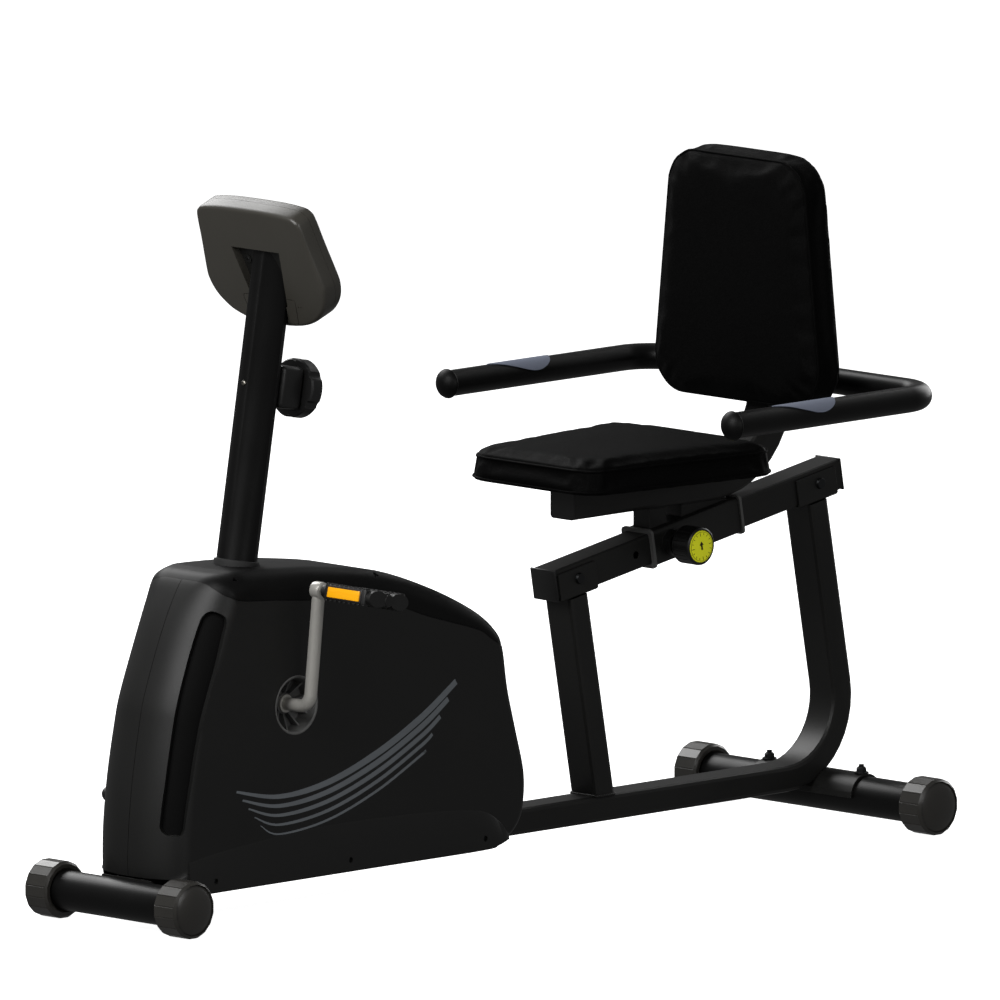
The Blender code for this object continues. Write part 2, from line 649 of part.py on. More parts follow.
def flywheel():
    axis = at(FLYWHEEL_X, 0, FLYWHEEL_Z) @ TO_RIGHT
    rim, web = 0.012, 0.005
    profile = [
        (FLYWHEEL_RADIUS, rim), (FLYWHEEL_RADIUS, -rim), (0.090, -rim), (0.086, -web), (0.024, -web), (0.020, -rim),
        (0.0063, -rim), (0.0063, rim), (0.020, rim), (0.024, web), (0.086, web), (0.090, rim),
    ]
    turned("flywheel", profile, 32, "cast_iron", axis, closed=True)
    belt_in, belt_out = BELT_Y - BELT_WIDTH / 2 - 0.001, BELT_Y + BELT_WIDTH / 2 + 0.001
    profile = [
        (0, belt_out + 0.004), (0.006, belt_out + 0.004), (0.006, belt_out), (SMALL_PULLEY_RADIUS, belt_out),
        (SMALL_PULLEY_RADIUS, belt_in), (0.006, belt_in), (0.006, -0.034), (0, -0.034),
    ]
    turned("flywheel_shaft", profile, 16, "steel", axis)


def flywheel_bracket():
    """Two plates and a foot on the beam; they carry the shaft and the pivot of the magnet arm."""
    base = BEAM_TOP + GAP
    outline = [
        (0.480, base), (0.610, base), (0.566, 0.246), (0.553, 0.258), (0.420, 0.282), (0.405, 0.280),
        (0.402, 0.262), (0.470, 0.230),
    ]
    plate_y, plate = 0.0235, 0.004
    bracket = side_plate("flywheel_bracket", outline, plate, "black_paint", -plate_y)
    join(bracket, side_plate("flywheel_bracket_right", outline, plate, "black_paint", plate_y))
    foot = at(0.545, 0, base + 0.002)
    join(bracket, box("flywheel_bracket_foot", (0.128, 2 * plate_y, 0.004), "black_paint", foot))
    cut(bracket, cylinder("shaft_hole", 0.0066, 0.2, "steel", at(FLYWHEEL_X, 0, FLYWHEEL_Z) @ TO_RIGHT, 16))
    pivot = at(MAGNET_PIVOT_X, 0, MAGNET_PIVOT_Z) @ TO_RIGHT
    join(bracket, cylinder("magnet_pivot_pin", 0.004, 2 * plate_y, "steel", pivot, 12))


def magnet_arm():
    """A curved yoke that carries the magnets over the rim; turning it away lightens the load."""
    centre = (FLYWHEEL_X, FLYWHEEL_Z)
    inner, outer = FLYWHEEL_RADIUS + 0.004, FLYWHEEL_RADIUS + 0.014
    outline = arc(centre, inner, 60, 158, 10)
    outline += [(MAGNET_PIVOT_X + 0.004, MAGNET_PIVOT_Z - 0.009), (MAGNET_PIVOT_X - 0.008, MAGNET_PIVOT_Z - 0.006)]
    outline += [(MAGNET_PIVOT_X - 0.009, MAGNET_PIVOT_Z + 0.006)]
    outline += arc(centre, outer, 155, 60, 10)
    arm = side_plate("magnet_arm", outline, 0.030, "steel", 0)
    pivot = at(MAGNET_PIVOT_X, 0, MAGNET_PIVOT_Z) @ TO_RIGHT
    cut(arm, cylinder("magnet_arm_bore", 0.0045, 0.1, "steel", pivot, 12))


# ---- Housing ---------------------------------------------------------------------------------------


def inset_outline(points, insets):
    """Moves each side of a closed outline inward by its own inset and meets them again at the corners."""
    lines = []
    for i, start in enumerate(points):
        along = (points[(i + 1) % len(points)] - start).normalized()
        inward = Vector((along.y, -along.x))
        lines.append((start + inward * insets[i], along))
    result = []
    for i, (start, along) in enumerate(lines):
        last_start, last_along = lines[i - 1]
        cross = last_along.x * along.y - last_along.y * along.x
        if abs(cross) < 0.02:
            result.append(start)
            continue
        reach = start - last_start
        share = (reach.x * along.y - reach.y * along.x) / cross
        result.append(last_start + last_along * share)
    return result


def housing_skin():
    """The left half of the housing as an open skin: rounded over at the front, top and rear."""
    stretches = (
        (HOUSING_FRONT, FRONT_ROUNDING), (HOUSING_TOP, TOP_ROUNDING), (HOUSING_REAR, REAR_ROUNDING),
        (HOUSING_BOTTOM, NO_ROUNDING),
    )
    points = [Vector((x - CENTRE_X, z)) for stretch, _ in stretches for x, z in stretch]
    roundings = [rounding for stretch, rounding in stretches for _ in stretch]
    roundings[-1] = FRONT_ROUNDING
    bm = bmesh.new()
    loops = []
    for step in range(-1, ROUNDING_STEPS + 1):
        angle = QUARTER_TURN * max(step, 0) / ROUNDING_STEPS
        outline = inset_outline(points, [depth * (1 - math.cos(angle)) for depth, _ in roundings])
        loop = []
        for i, point in enumerate(outline):
            spread = (roundings[i - 1][1] + roundings[i][1]) / 2
            y = 0.0 if step < 0 else HOUSING_HALF - spread * (1 - math.sin(angle))
            loop.append(bm.verts.new((point.x, -y - GAP / 2, point.y)))
        loops.append(loop)
    count = len(points)
    bottom = count - 2
    for near, far in zip(loops, loops[1:]):
        for i in range(count):
            if i != bottom:
                j = (i + 1) % count
                bm.faces.new((near[i], near[j], far[j], far[i]))
    side = bm.faces.new(loops[-1])
    bmesh.ops.recalc_face_normals(bm, faces=bm.faces)
    if side.normal.y > 0:
        bmesh.ops.reverse_faces(bm, faces=bm.faces)
    return bm


def mirrored(bm):
    bmesh.ops.scale(bm, vec=(1, -1, 1), verts=bm.verts)
    bmesh.ops.reverse_faces(bm, faces=bm.faces)
    return bm


def cover_region(name, raised):
    """Everything above the edge of the top cover."""
    edge = [(x, z + raised) for x, z in COVER_EDGE]
    return side_plate(name, edge + [(0.83, 0.7), (0.05, 0.7), (0.118, 0.535)], 0.4, "black_plastic", 0)


def crank_recess(side, sign):
    """The dished wall round the crank, moulded with the shell."""
    face, floor = HOUSING_HALF - 0.0005, CRANK_RECESS_FLOOR
    radius, wall = CRANK_RECESS_RADIUS, 0.002
    profile = [
        (radius + wall, face), (radius + wall, floor), (0.026, floor), (0.026, floor + wall),
        (radius - 0.004, floor + wall), (radius, face),
    ]
    outward = TO_RIGHT if sign > 0 else TO_LEFT
    place = at(CRANK_X, 0, CRANK_Z) @ outward
    return turned(f"crank_recess_{side}", profile, 24, "black_plastic", place, closed=True)


def housing():
    beam_way = as_tool(box("beam_way", (2.0, BEAM_WIDTH + 0.001, 0.2), "steel", at(0, 0, BEAM_TOP - 0.0995)))
    front_cope = as_tool(saddle_clearance("housing_saddle_cope", 0))
    for side, sign in SIDES.items():
        skin = housing_skin() if sign < 0 else mirrored(housing_skin())
        shell = new_object(f"housing_{side}", skin, "black_plastic", UPRIGHT)
        add_wall(shell, PLASTIC_WALL)
        cut(shell, cover_region(f"cover_region_{side}", 0))
        hole = at(CRANK_X, sign * HOUSING_HALF, CRANK_Z) @ TO_RIGHT
        cut(shell, cylinder(f"crank_hole_{side}", CRANK_RECESS_RADIUS + 0.001, 0.02, "steel", hole, 24))
        join(shell, crank_recess(side, sign))
        cut(shell, beam_way, front_cope)
    skin = housing_skin()
    bmesh.ops.translate(skin, vec=(0, GAP / 2, 0), verts=skin.verts)
    bmesh.ops.mirror(skin, geom=skin.verts[:] + skin.edges[:] + skin.faces[:], axis="Y", merge_dist=0.00001)
    bmesh.ops.recalc_face_normals(skin, faces=skin.faces)
    if sum(f.normal.z * f.calc_area() for f in skin.faces) < 0:
        bmesh.ops.reverse_faces(skin, faces=skin.faces)
    cover = new_object("housing_top_cover", skin, "black_plastic", UPRIGHT)
    add_wall(cover, PLASTIC_WALL)
    combine(cover, as_tool(cover_region("cover_region_top", GAP)), "INTERSECT")
    cut(cover, mast_tool("cover_post_hole", POST_RADIUS + 0.0006))


# ---- Console post, tension control and console -----------------------------------------------------


def console_tool(name, start, finish):
    """A tall block between two depths of the console."""
    place = CONSOLE @ Matrix.Translation(((start + finish) / 2, 0, 0))
    return box(name, (finish - start, 0.5, 0.6), "steel", place)


def console_post():
    circle = arc((0, 0), POST_RADIUS, 0, 360, 28)[:-1]
    place = POST @ Matrix.Translation((0, 0, POST_BOTTOM)) @ Matrix.Rotation(-QUARTER_TURN, 4, "Y")
    post = sweep("console_post", circle, [0.50], "black_paint", place, 0.0015)
    cut(post, console_tool("post_top_cut", 0.0225, 0.4))
    plate = CONSOLE @ Matrix.Translation((0.0235, 0, -0.085))
    join(post, box("console_plate", (0.003, 0.078, 0.075), "black_paint", plate))
    bore = POST @ Matrix.Translation((0.05, 0, TENSION_STATION)) @ TO_REAR
    cut(post, cylinder("cable_hole", 0.006, 0.06, "steel", bore, 12))


def tension_control():
    """The block clamped behind the post and the knob that pulls the brake cable."""
    axis = POST @ Matrix.Translation((0, 0, TENSION_STATION)) @ TO_REAR
    block_place = POST @ Matrix.Translation((0.0440, 0, TENSION_STATION))
    block = box("tension_block", (0.044, 0.050, 0.061), "black_plastic", block_place, 0.003)
    cut(block, mast_tool("tension_post_cope", POST_RADIUS + GAP))
    cut(block, cylinder("tension_bore", 0.0056, 0.3, "steel", axis, 16))
    profile = [
        (0, 0.091), (0.036, 0.091), (TENSION_KNOB_RADIUS, 0.086), (TENSION_KNOB_RADIUS, 0.067), (0.005, 0.067),
        (0.005, 0.036), (0, 0.036),
    ]
    turned("tension_knob", profile, 24, "black_plastic", axis)
    grip = 0.006
    knob = bpy.data.objects["tension_knob"]
    for index in range(6):
        swing = Matrix.Rotation(index * HALF_TURN / 3, 4, "Z")
        place = axis @ swing @ Matrix.Translation((TENSION_KNOB_RADIUS + grip / 3, 0, 0.079))
        cut(knob, cylinder(f"knob_scallop_{index + 1}", grip, 0.04, "steel", place, 12))


def console_outline():
    """Half the console's outline is drawn and turned over: wider low down, round at the bottom."""
    half = [(0.050, 0.0022), (0.0820, -0.0010), (0.0925, -0.0060), (0.0985, -0.0160), (0.1225, -0.1050)]
    half += [(0.1232, -0.1180), (0.1180, -0.1350), (0.1060, -0.1520), (0.0850, -0.1690), (0.0500, -0.1800)]
    other = [(-y, z) for y, z in reversed(half)]
    return [(0, 0.0030)] + half + [(0, -CONSOLE_HEIGHT)] + other


def console():
    outline = console_outline()
    back = cup("console_back", outline, CONSOLE_SPLIT - GAP, 0.004, "grey_plastic", CONSOLE)
    recess = [(-0.044, -0.058), (0.044, -0.058), (0.031, -0.150), (-0.031, -0.150)]
    across = Matrix(((0, 0, 1, 0), (1, 0, 0, 0), (0, 1, 0, 0), (0, 0, 0, 1)))
    cut(back, slab("console_recess", [recess], 0.02, "steel", CONSOLE @ across))
    cut(back, mast_tool("console_post_way", POST_RADIUS + 0.0015))
    face = CONSOLE @ Matrix.Translation((CONSOLE_DEPTH, 0, 0))
    front = cup("console_front", outline, CONSOLE_SPLIT - CONSOLE_DEPTH, 0.004, "grey_plastic", face)
    window = face @ Matrix.Translation((0, 0, -0.066))
    cut(front, box("display_window", (0.02, 0.110, 0.062), "steel", window))
    glass = face @ Matrix.Translation((-0.0015, 0, -0.066))
    box("console_lens", (0.002, 0.110 - 2 * GAP, 0.062 - 2 * GAP), "display", glass)
    for name, y in CONSOLE_BUTTONS.items():
        spot = face @ Matrix.Translation((0, y, BUTTON_Z)) @ TO_REAR
        cut(front, cylinder(f"{name}_hole", BUTTON_RADIUS + GAP, 0.02, "steel", spot, 20))
        profile = [
            (0, 0.0018), (BUTTON_RADIUS - 0.001, 0.0018), (BUTTON_RADIUS, 0.0008), (BUTTON_RADIUS, -0.008), (0, -0.008)
        ]
        turned(name, profile, 20, "grey_plastic", spot)


# ---- Seat carriage ---------------------------------------------------------------------------------


def seat_stand(index, start, finish):
    """A short post between the sleeve and the seat beam, its foot cut to the rail's slope."""

    def sleeve_top(x):
        centre = RAIL_ORIGIN[1] + (x - RAIL_ORIGIN[0]) * math.tan(RAIL_SLOPE)
        return centre + SLEEVE_HEIGHT / 2 / math.cos(RAIL_SLOPE) - STEEL_WALL / 2

    top = SEAT_BEAM_BOTTOM - GAP
    outline = [(start, sleeve_top(start)), (finish, sleeve_top(finish)), (finish, top), (start, top)]
    return side_plate(f"seat_stand_{index + 1}", outline, 2 * STAND_HALF, "black_paint", 0)


def slider():
    start, finish = SLEEVE
    ring = section(SLEEVE_WIDTH, SLEEVE_HEIGHT, 0.005)
    sleeve = sweep(
        "slider_sleeve", ring, [finish - start], "black_paint", RAIL @ Matrix.Translation((start, 0, 0))
    )
    for index, (front, rear) in enumerate(SEAT_STANDS):
        join(sleeve, seat_stand(index, front, rear))
    boss = RAIL @ Matrix.Translation((PIN_STATION, -SLEEVE_WIDTH / 2 - 0.007, 0)) @ TO_LEFT
    join(sleeve, cylinder("pin_boss", 0.019, 0.016, "black_paint", boss, 20))
    bore = RAIL @ Matrix.Translation((PIN_STATION, -SLEEVE_WIDTH / 2, 0)) @ TO_LEFT
    cut(sleeve, cylinder("pin_boss_bore", PIN_RADIUS + GAP, 0.05, "steel", bore, 16))
    inside = section(RAIL_WIDTH + 2 * GAP, RAIL_HEIGHT + 2 * GAP, 0.004)
    room = 2 * (STEEL_WALL + GAP)
    liner_ring = section(SLEEVE_WIDTH - room, SLEEVE_HEIGHT - room, 0.0035)
    flange_ring = section(SLEEVE_WIDTH + 0.004, SLEEVE_HEIGHT + 0.004, 0.006)
    across = Matrix(((0, 0, 1, 0), (1, 0, 0, 0), (0, 1, 0, 0), (0, 0, 0, 1)))
    for end, edge, inward in (("front", start, 1), ("rear", finish, -1)):
        flange_at = RAIL @ Matrix.Translation((edge - inward * (GAP + BUSH_FLANGE / 2), 0, 0)) @ across
        bush = slab(f"slider_bush_{end}", [flange_ring, inside], BUSH_FLANGE, "grey_plastic", flange_at)
        liner_at = RAIL @ Matrix.Translation((edge + inward * (BUSH_LINER / 2 - 0.002), 0, 0)) @ across
        join(bush, slab(f"slider_liner_{end}", [liner_ring, inside], BUSH_LINER, "grey_plastic", liner_at))


def lock_knob():
    axis = RAIL @ Matrix.Translation((PIN_STATION, 0, 0)) @ TO_LEFT
    face, radius, back = LOCK_KNOB_FACE, LOCK_KNOB_RADIUS, 0.053
    profile = [
        (0, face), (radius - 0.002, face), (radius, face - 0.002), (radius, back), (PIN_RADIUS, back),
        (PIN_RADIUS, RAIL_WIDTH / 2 + 2 * GAP), (0, RAIL_WIDTH / 2 + 2 * GAP),
    ]
    turned("lock_knob", profile, 24, "yellow_plastic", axis)


def seat_beam():
    level = BACK_POST_X - SEAT_BEAM_BEND - SEAT_BEAM_FRONT_X
    middle = SEAT_BEAM_BOTTOM + SEAT_BEAM_DEPTH / 2
    rise = BACK_POST_TOP - middle - SEAT_BEAM_BEND
    ring = section(SEAT_BEAM_WIDTH, SEAT_BEAM_DEPTH)
    runs = [level, (SEAT_BEAM_BEND, QUARTER_TURN), rise]
    sweep("seat_beam", ring, runs, "black_paint", at(SEAT_BEAM_FRONT_X, 0, middle))


def trapezoid(low, high, low_half, high_half, radius, inset=0.0):
    """A rounded trapezoid from low to high along the first axis."""
    low, high, low_half, high_half = low + inset, high - inset, low_half - inset, high_half - inset
    corners = [(low, -low_half, 0), (high, -high_half, 0), (high, high_half, 0), (low, low_half, 0)]
    return rounded(corners, radius - inset, 5)


def shrink(points, by):
    """Draws an outline in toward its middle by a small, even share."""
    middle = sum((Vector(p[:2]) for p in points), Vector((0, 0))) / len(points)
    result = []
    for point in points:
        away = Vector(point[:2]) - middle
        result.append(tuple(middle + away * (1 - by / away.length)))
    return result


def cushions():
    front, rear = (x - CENTRE_X for x in SEAT_X)
    place = Matrix.Translation((0, 0, CUSHION_BOTTOM + CUSHION_THICKNESS / 2))
    outline = trapezoid(front, rear, *SEAT_HALVES, 0.040)
    inner = trapezoid(front, rear, *SEAT_HALVES, 0.040, BOARD_INSET)
    soft_slab("seat_cushion", "seat_board", outline, inner, place, CUSHION_THICKNESS)
    low, high = BACKREST_Z
    thickness = BACKREST_X[1] - BACKREST_X[0]
    facing = at(sum(BACKREST_X) / 2, 0, 0) @ Matrix(((0, 0, -1, 0), (0, 1, 0, 0), (1, 0, 0, 0), (0, 0, 0, 1)))
    outline = trapezoid(low, high, *BACKREST_HALVES, 0.055)
    inner = trapezoid(low, high, *BACKREST_HALVES, 0.055, BOARD_INSET)
    soft_slab("backrest_cushion", "backrest_board", outline, inner, facing, thickness)


def soft_slab(pad_name, board_name, outline, inner, place, thickness):
    """A padded slab whose cover wraps round a board let into its underside."""
    pad = slab(pad_name, [outline], thickness, "vinyl", place)
    edge = pad.modifiers.new("soft edge", "BEVEL")
    edge.width = 0.009
    edge.segments = 2
    edge.limit_method = "ANGLE"
    underside = place @ Matrix.Translation((0, 0, -thickness / 2))
    pocket = 2 * (BOARD_THICKNESS + GAP)
    cut(pad, slab(f"{board_name}_pocket", [inner], pocket, "steel", underside))
    fitted = place @ Matrix.Translation((0, 0, (BOARD_THICKNESS - thickness) / 2))
    slab(board_name, [shrink(inner, 2 * GAP)], BOARD_THICKNESS, "plywood", fitted)


def handlebar():
    half, rear = HANDLEBAR_HALF, HANDLEBAR_REAR_X
    corners = [(HANDLEBAR_FRONT_X, -half, 0), (rear, -half, 0), (rear, half, 0), (HANDLEBAR_FRONT_X, half, 0)]
    path = rounded(corners, HANDLEBAR_BEND, 8, closed=False)
    pipe("handlebar", path, HANDLEBAR_RADIUS, "black_paint", at(0, 0, HANDLEBAR_Z), wall=0.0015)
    middle = sum(PULSE_X) / 2
    upward = Matrix(((0, 0, 1, 0), (1, 0, 0, 0), (0, 1, 0, 0), (0, 0, 0, 1)))
    plate = arc((0, 0), HANDLEBAR_RADIUS + 0.0012, 15, 165, 10)
    plate += arc((0, 0), HANDLEBAR_RADIUS + GAP, 165, 15, 10)
    for side, sign in SIDES.items():
        cap_at = at(HANDLEBAR_FRONT_X, sign * half, HANDLEBAR_Z) @ Matrix.Rotation(-QUARTER_TURN, 4, "Y")
        profile = [
            (0, 0.014), (0.010, 0.012), (0.0175, 0.0075), (0.0215, 0.0015), (0.0215, GAP), (0.0160, GAP),
            (0.0160, -0.020), (0, -0.020),
        ]
        turned(f"handlebar_cap_{side}", profile, 24, "grey_plastic", cap_at)
        place = at(middle, sign * half, HANDLEBAR_Z) @ upward
        slab(f"pulse_plate_{side}", [plate], PULSE_X[1] - PULSE_X[0], "chrome", place)


# ---- Assembly --------------------------------------------------------------------------------------


def pivot(name, place, members, parent=None):
    """An empty on a joint's axis that carries the pieces that move with it."""
    empty = bpy.data.objects.new(name, None)
    PARTS.objects.link(empty)
    empty.matrix_world = place
    if parent:
        empty.parent = parent
        empty.matrix_parent_inverse = parent.matrix_world.inverted()
    for member in members:
        obj = bpy.data.objects[member]
        obj.parent = empty
        obj.matrix_parent_inverse = place.inverted()
    return empty


def joints():
    crank_pivot = pivot(
        "crank_axis", at(CRANK_X, 0, CRANK_Z), ["crank", "crank_pulley", "pedal_spindle_left", "pedal_spindle_right"]
    )
    for side, sign in SIDES.items():
        eye = at(CRANK_X, 0, CRANK_Z - sign * CRANK_ARM)
        pivot(f"pedal_axis_{side}", eye, [f"pedal_{side}", f"pedal_reflector_{side}"], crank_pivot)
    pivot("flywheel_axis", at(FLYWHEEL_X, 0, FLYWHEEL_Z), ["flywheel", "flywheel_shaft"])
    pivot("magnet_axis", at(MAGNET_PIVOT_X, 0, MAGNET_PIVOT_Z), ["magnet_arm"])
    pivot("tension_axis", POST @ Matrix.Translation((0, 0, TENSION_STATION)), ["tension_knob"])
    for name, y in CONSOLE_BUTTONS.items():
        pivot(f"{name}_axis", CONSOLE @ Matrix.Translation((CONSOLE_DEPTH, y, BUTTON_Z)), [name])
    carried = ["slider_sleeve", "slider_bush_front", "slider_bush_rear", "seat_beam", "seat_cushion", "seat_board"]
    carried += ["backrest_cushion", "backrest_board", "handlebar"]
    carried += [f"{name}_{side}" for name in ("handlebar_cap", "pulse_plate") for side in SIDES]
    carriage = pivot("carriage_axis", RAIL @ Matrix.Translation((SLEEVE[0], 0, 0)), carried)
    pivot("lock_axis", RAIL @ Matrix.Translation((PIN_STATION, 0, 0)), ["lock_knob"], carriage)


def build():
    stabiliser("front", 0, FRONT_CAP_FACE)
    stabiliser("rear", WHEELBASE, REAR_CAP_FACE)
    saddle("front_saddle", 0, FRONT_SADDLE_HALF)
    saddle("rear_saddle", WHEELBASE, REAR_SADDLE_HALF, SADDLE_BOLT_Y)
    main_beam()
    front_upright()
    seat_rail([rail_bracket(end) for end in BRACKETS])
    mast()
    crank_shell()
    crank()
    for side, sign in SIDES.items():
        pedal(side, sign)
    drive_belt()
    flywheel()
    flywheel_bracket()
    magnet_arm()
    housing()
    console_post()
    tension_control()
    console()
    slider()
    lock_knob()
    seat_beam()
    cushions()
    handlebar()
    joints()


build()
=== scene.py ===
"""Looks for a recumbent exercise bike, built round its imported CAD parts.

Metres, +Z up. +X runs to the rear, +Y to the rider's right, and the origin is on the floor under the centre.
"""

import json
import math

import bmesh
import bpy
from mathutils import Matrix, Vector
from mathutils.bvhtree import BVHTree

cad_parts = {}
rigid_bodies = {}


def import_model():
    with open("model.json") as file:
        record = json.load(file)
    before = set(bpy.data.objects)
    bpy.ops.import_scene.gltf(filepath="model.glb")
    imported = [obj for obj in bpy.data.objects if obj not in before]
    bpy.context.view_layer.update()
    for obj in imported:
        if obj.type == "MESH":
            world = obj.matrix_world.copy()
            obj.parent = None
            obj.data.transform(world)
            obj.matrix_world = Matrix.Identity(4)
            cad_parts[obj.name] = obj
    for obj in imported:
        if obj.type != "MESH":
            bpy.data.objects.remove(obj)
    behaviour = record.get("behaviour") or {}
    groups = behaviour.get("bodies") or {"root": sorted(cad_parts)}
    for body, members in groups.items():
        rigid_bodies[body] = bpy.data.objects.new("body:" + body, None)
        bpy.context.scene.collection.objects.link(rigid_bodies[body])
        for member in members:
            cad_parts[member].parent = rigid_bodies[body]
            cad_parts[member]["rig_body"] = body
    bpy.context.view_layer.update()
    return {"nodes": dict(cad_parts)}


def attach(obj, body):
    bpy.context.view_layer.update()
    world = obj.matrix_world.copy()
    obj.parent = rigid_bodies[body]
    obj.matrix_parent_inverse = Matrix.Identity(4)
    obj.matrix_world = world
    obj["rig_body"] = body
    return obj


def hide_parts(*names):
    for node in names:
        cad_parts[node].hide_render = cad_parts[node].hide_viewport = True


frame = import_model()
nodes = frame["nodes"]

MM = 0.001
TOUCHING = 0.01 * MM
MERGED_SHAPE = 0.008 * MM
MERGED_CARVING = 0.005 * MM
MERGED_CAD = 0.02 * MM
HALF_TURN = math.pi
QUARTER_TURN = math.pi / 2
SIDES = {"left": -1, "right": 1}
TO_RIGHT = Matrix.Rotation(-QUARTER_TURN, 4, "X")
TO_LEFT = Matrix.Rotation(QUARTER_TURN, 4, "X")
TO_REAR = Matrix.Rotation(QUARTER_TURN, 4, "Y")
TO_FRONT = Matrix.Rotation(-QUARTER_TURN, 4, "Y")
OUTWARD = {-1: TO_LEFT, 1: TO_RIGHT}
ACROSS = Matrix(((0, 0, 1, 0), (1, 0, 0, 0), (0, 1, 0, 0), (0, 0, 0, 1)))

# The bike's main lengths. Each X is measured back from the front stabiliser's axis.
CENTRE_X = 0.7077
WHEELBASE = 1.406
STABILISER_Z = 0.0405
CAP_LENGTH = 0.045
CAP_FACES = {"front": 0.153, "rear": 0.250}
CRANK_X, CRANK_Z = 0.270, 0.2975
CRANK_ARM = 0.170
CRANK_BAR = 0.0093
PEDAL_TILT = math.radians(12)
POST_RAKE = math.radians(9.9)
POST_RADIUS = 0.0295
TENSION_STATION = 0.1475
CONSOLE_TILT = math.radians(21.3)
CONSOLE_DEPTH = 0.039
CONSOLE_SPLIT = 0.024
RAIL_SLOPE = math.radians(9.8)
PIN_STATION = 0.1797
HANDLEBAR_Z = 0.648
HANDLEBAR_HALF = 0.288
HANDLEBAR_RADIUS = 0.019
SEAT_X = (0.8195, 1.170)
SEAT_HALVES = (0.126, 0.16625)
SEAT_Z = (0.5385, 0.584)
BACKREST_X = (1.237, 1.2867)
BACKREST_Z = (0.626, 0.976)
BACKREST_HALVES = (0.1695, 0.130)


def moved(x=0, y=0, z=0):
    return Matrix.Translation((x, y, z))


def turned(angle):
    return Matrix.Rotation(angle, 4, "Z")


def at(x, y, z):
    """A place on the bike, with x measured back from the front stabiliser."""
    return moved(x - CENTRE_X, y, z)


RAIL = at(0.9067, 0, 0.4065) @ Matrix.Rotation(-RAIL_SLOPE, 4, "Y")
POST = at(0.2526, 0, 0.6028) @ Matrix.Rotation(POST_RAKE, 4, "Y")
CONSOLE = at(0.2495, 0, 0.9986) @ Matrix.Rotation(-CONSOLE_TILT, 4, "Y")
CONSOLE_FACE = CONSOLE @ moved(CONSOLE_DEPTH, 0, 0)


# ---- Materials -------------------------------------------------------------------------------------


def linear(colour):
    """An sRGB hex colour as linear red, green, blue and alpha."""
    shares = [int(colour[i : i + 2], 16) / 255 for i in (1, 3, 5)]
    return (*[s / 12.92 if s <= 0.04045 else ((s + 0.055) / 1.055) ** 2.4 for s in shares], 1.0)


def add(tree, kind, settings=None, links=None):
    """Adds a node. Settings name its properties or inputs, and links join sockets to its inputs."""
    node = tree.nodes.new("ShaderNode" + kind)
    for key, value in (settings or {}).items():
        if isinstance(key, str) and hasattr(node, key):
            setattr(node, key, value)
        else:
            node.inputs[key].default_value = value
    for key, socket in (links or {}).items():
        tree.links.new(socket, node.inputs[key])
    return node


def new_material(name):
    material = bpy.data.materials.new(name)
    material.use_nodes = True
    material.node_tree.nodes.clear()
    return material, material.node_tree


def surface(name, tones, roughness, grain_mm, relief_mm, patch_mm=60, spread=0.06, specular=0.5, **sockets):
    """A skin with a fine grain in relief, and slow patches that shift its tone and its gloss a little."""
    material, tree = new_material(name)
    place = add(tree, "TexCoord").outputs["Object"]
    patch = add(tree, "TexNoise", {"Scale": 1 / (patch_mm * MM), "Detail": 3.0}, {"Vector": place})
    tone = add(
        tree, "Mix", {"data_type": "RGBA", 6: linear(tones[0]), 7: linear(tones[1])},
        {0: patch.outputs["Fac"]},
    )
    gloss = add(tree, "MapRange", {3: roughness - spread, 4: roughness + spread}, {0: patch.outputs["Fac"]})
    grain = add(tree, "TexNoise", {"Scale": 1 / (grain_mm * MM), "Detail": 2.0}, {"Vector": place})
    relief = add(tree, "Bump", {"Distance": relief_mm * MM}, {"Height": grain.outputs["Fac"]})
    shader = add(
        tree, "BsdfPrincipled", {"Specular IOR Level": specular, **sockets},
        {"Base Color": tone.outputs[2], "Roughness": gloss.outputs[0], "Normal": relief.outputs[0]},
    )
    add(tree, "OutputMaterial", None, {"Surface": shader.outputs[0]})
    return material


def brushed(name, tones, roughness, stretch, grain_mm, relief_mm, specular=0.5, **sockets):
    """A metal with fine drawn or turned lines. Stretch is how much longer they run along each axis."""
    material, tree = new_material(name)
    place = add(tree, "TexCoord").outputs["Object"]
    scaled = add(tree, "Mapping", {"Scale": tuple(1 / s for s in stretch)}, {"Vector": place})
    grain = {"Scale": 1 / (grain_mm * MM), "Detail": 2.0}
    lines = add(tree, "TexNoise", grain, {"Vector": scaled.outputs[0]})
    tone = add(
        tree, "Mix", {"data_type": "RGBA", 6: linear(tones[0]), 7: linear(tones[1])},
        {0: lines.outputs["Fac"]},
    )
    gloss = add(tree, "MapRange", {3: roughness - 0.08, 4: roughness + 0.08}, {0: lines.outputs["Fac"]})
    relief = add(tree, "Bump", {"Distance": relief_mm * MM}, {"Height": lines.outputs["Fac"]})
    shader = add(
        tree, "BsdfPrincipled", {"Metallic": 1.0, "Specular IOR Level": specular, **sockets},
        {"Base Color": tone.outputs[2], "Roughness": gloss.outputs[0], "Normal": relief.outputs[0]},
    )
    add(tree, "OutputMaterial", None, {"Surface": shader.outputs[0]})
    return material


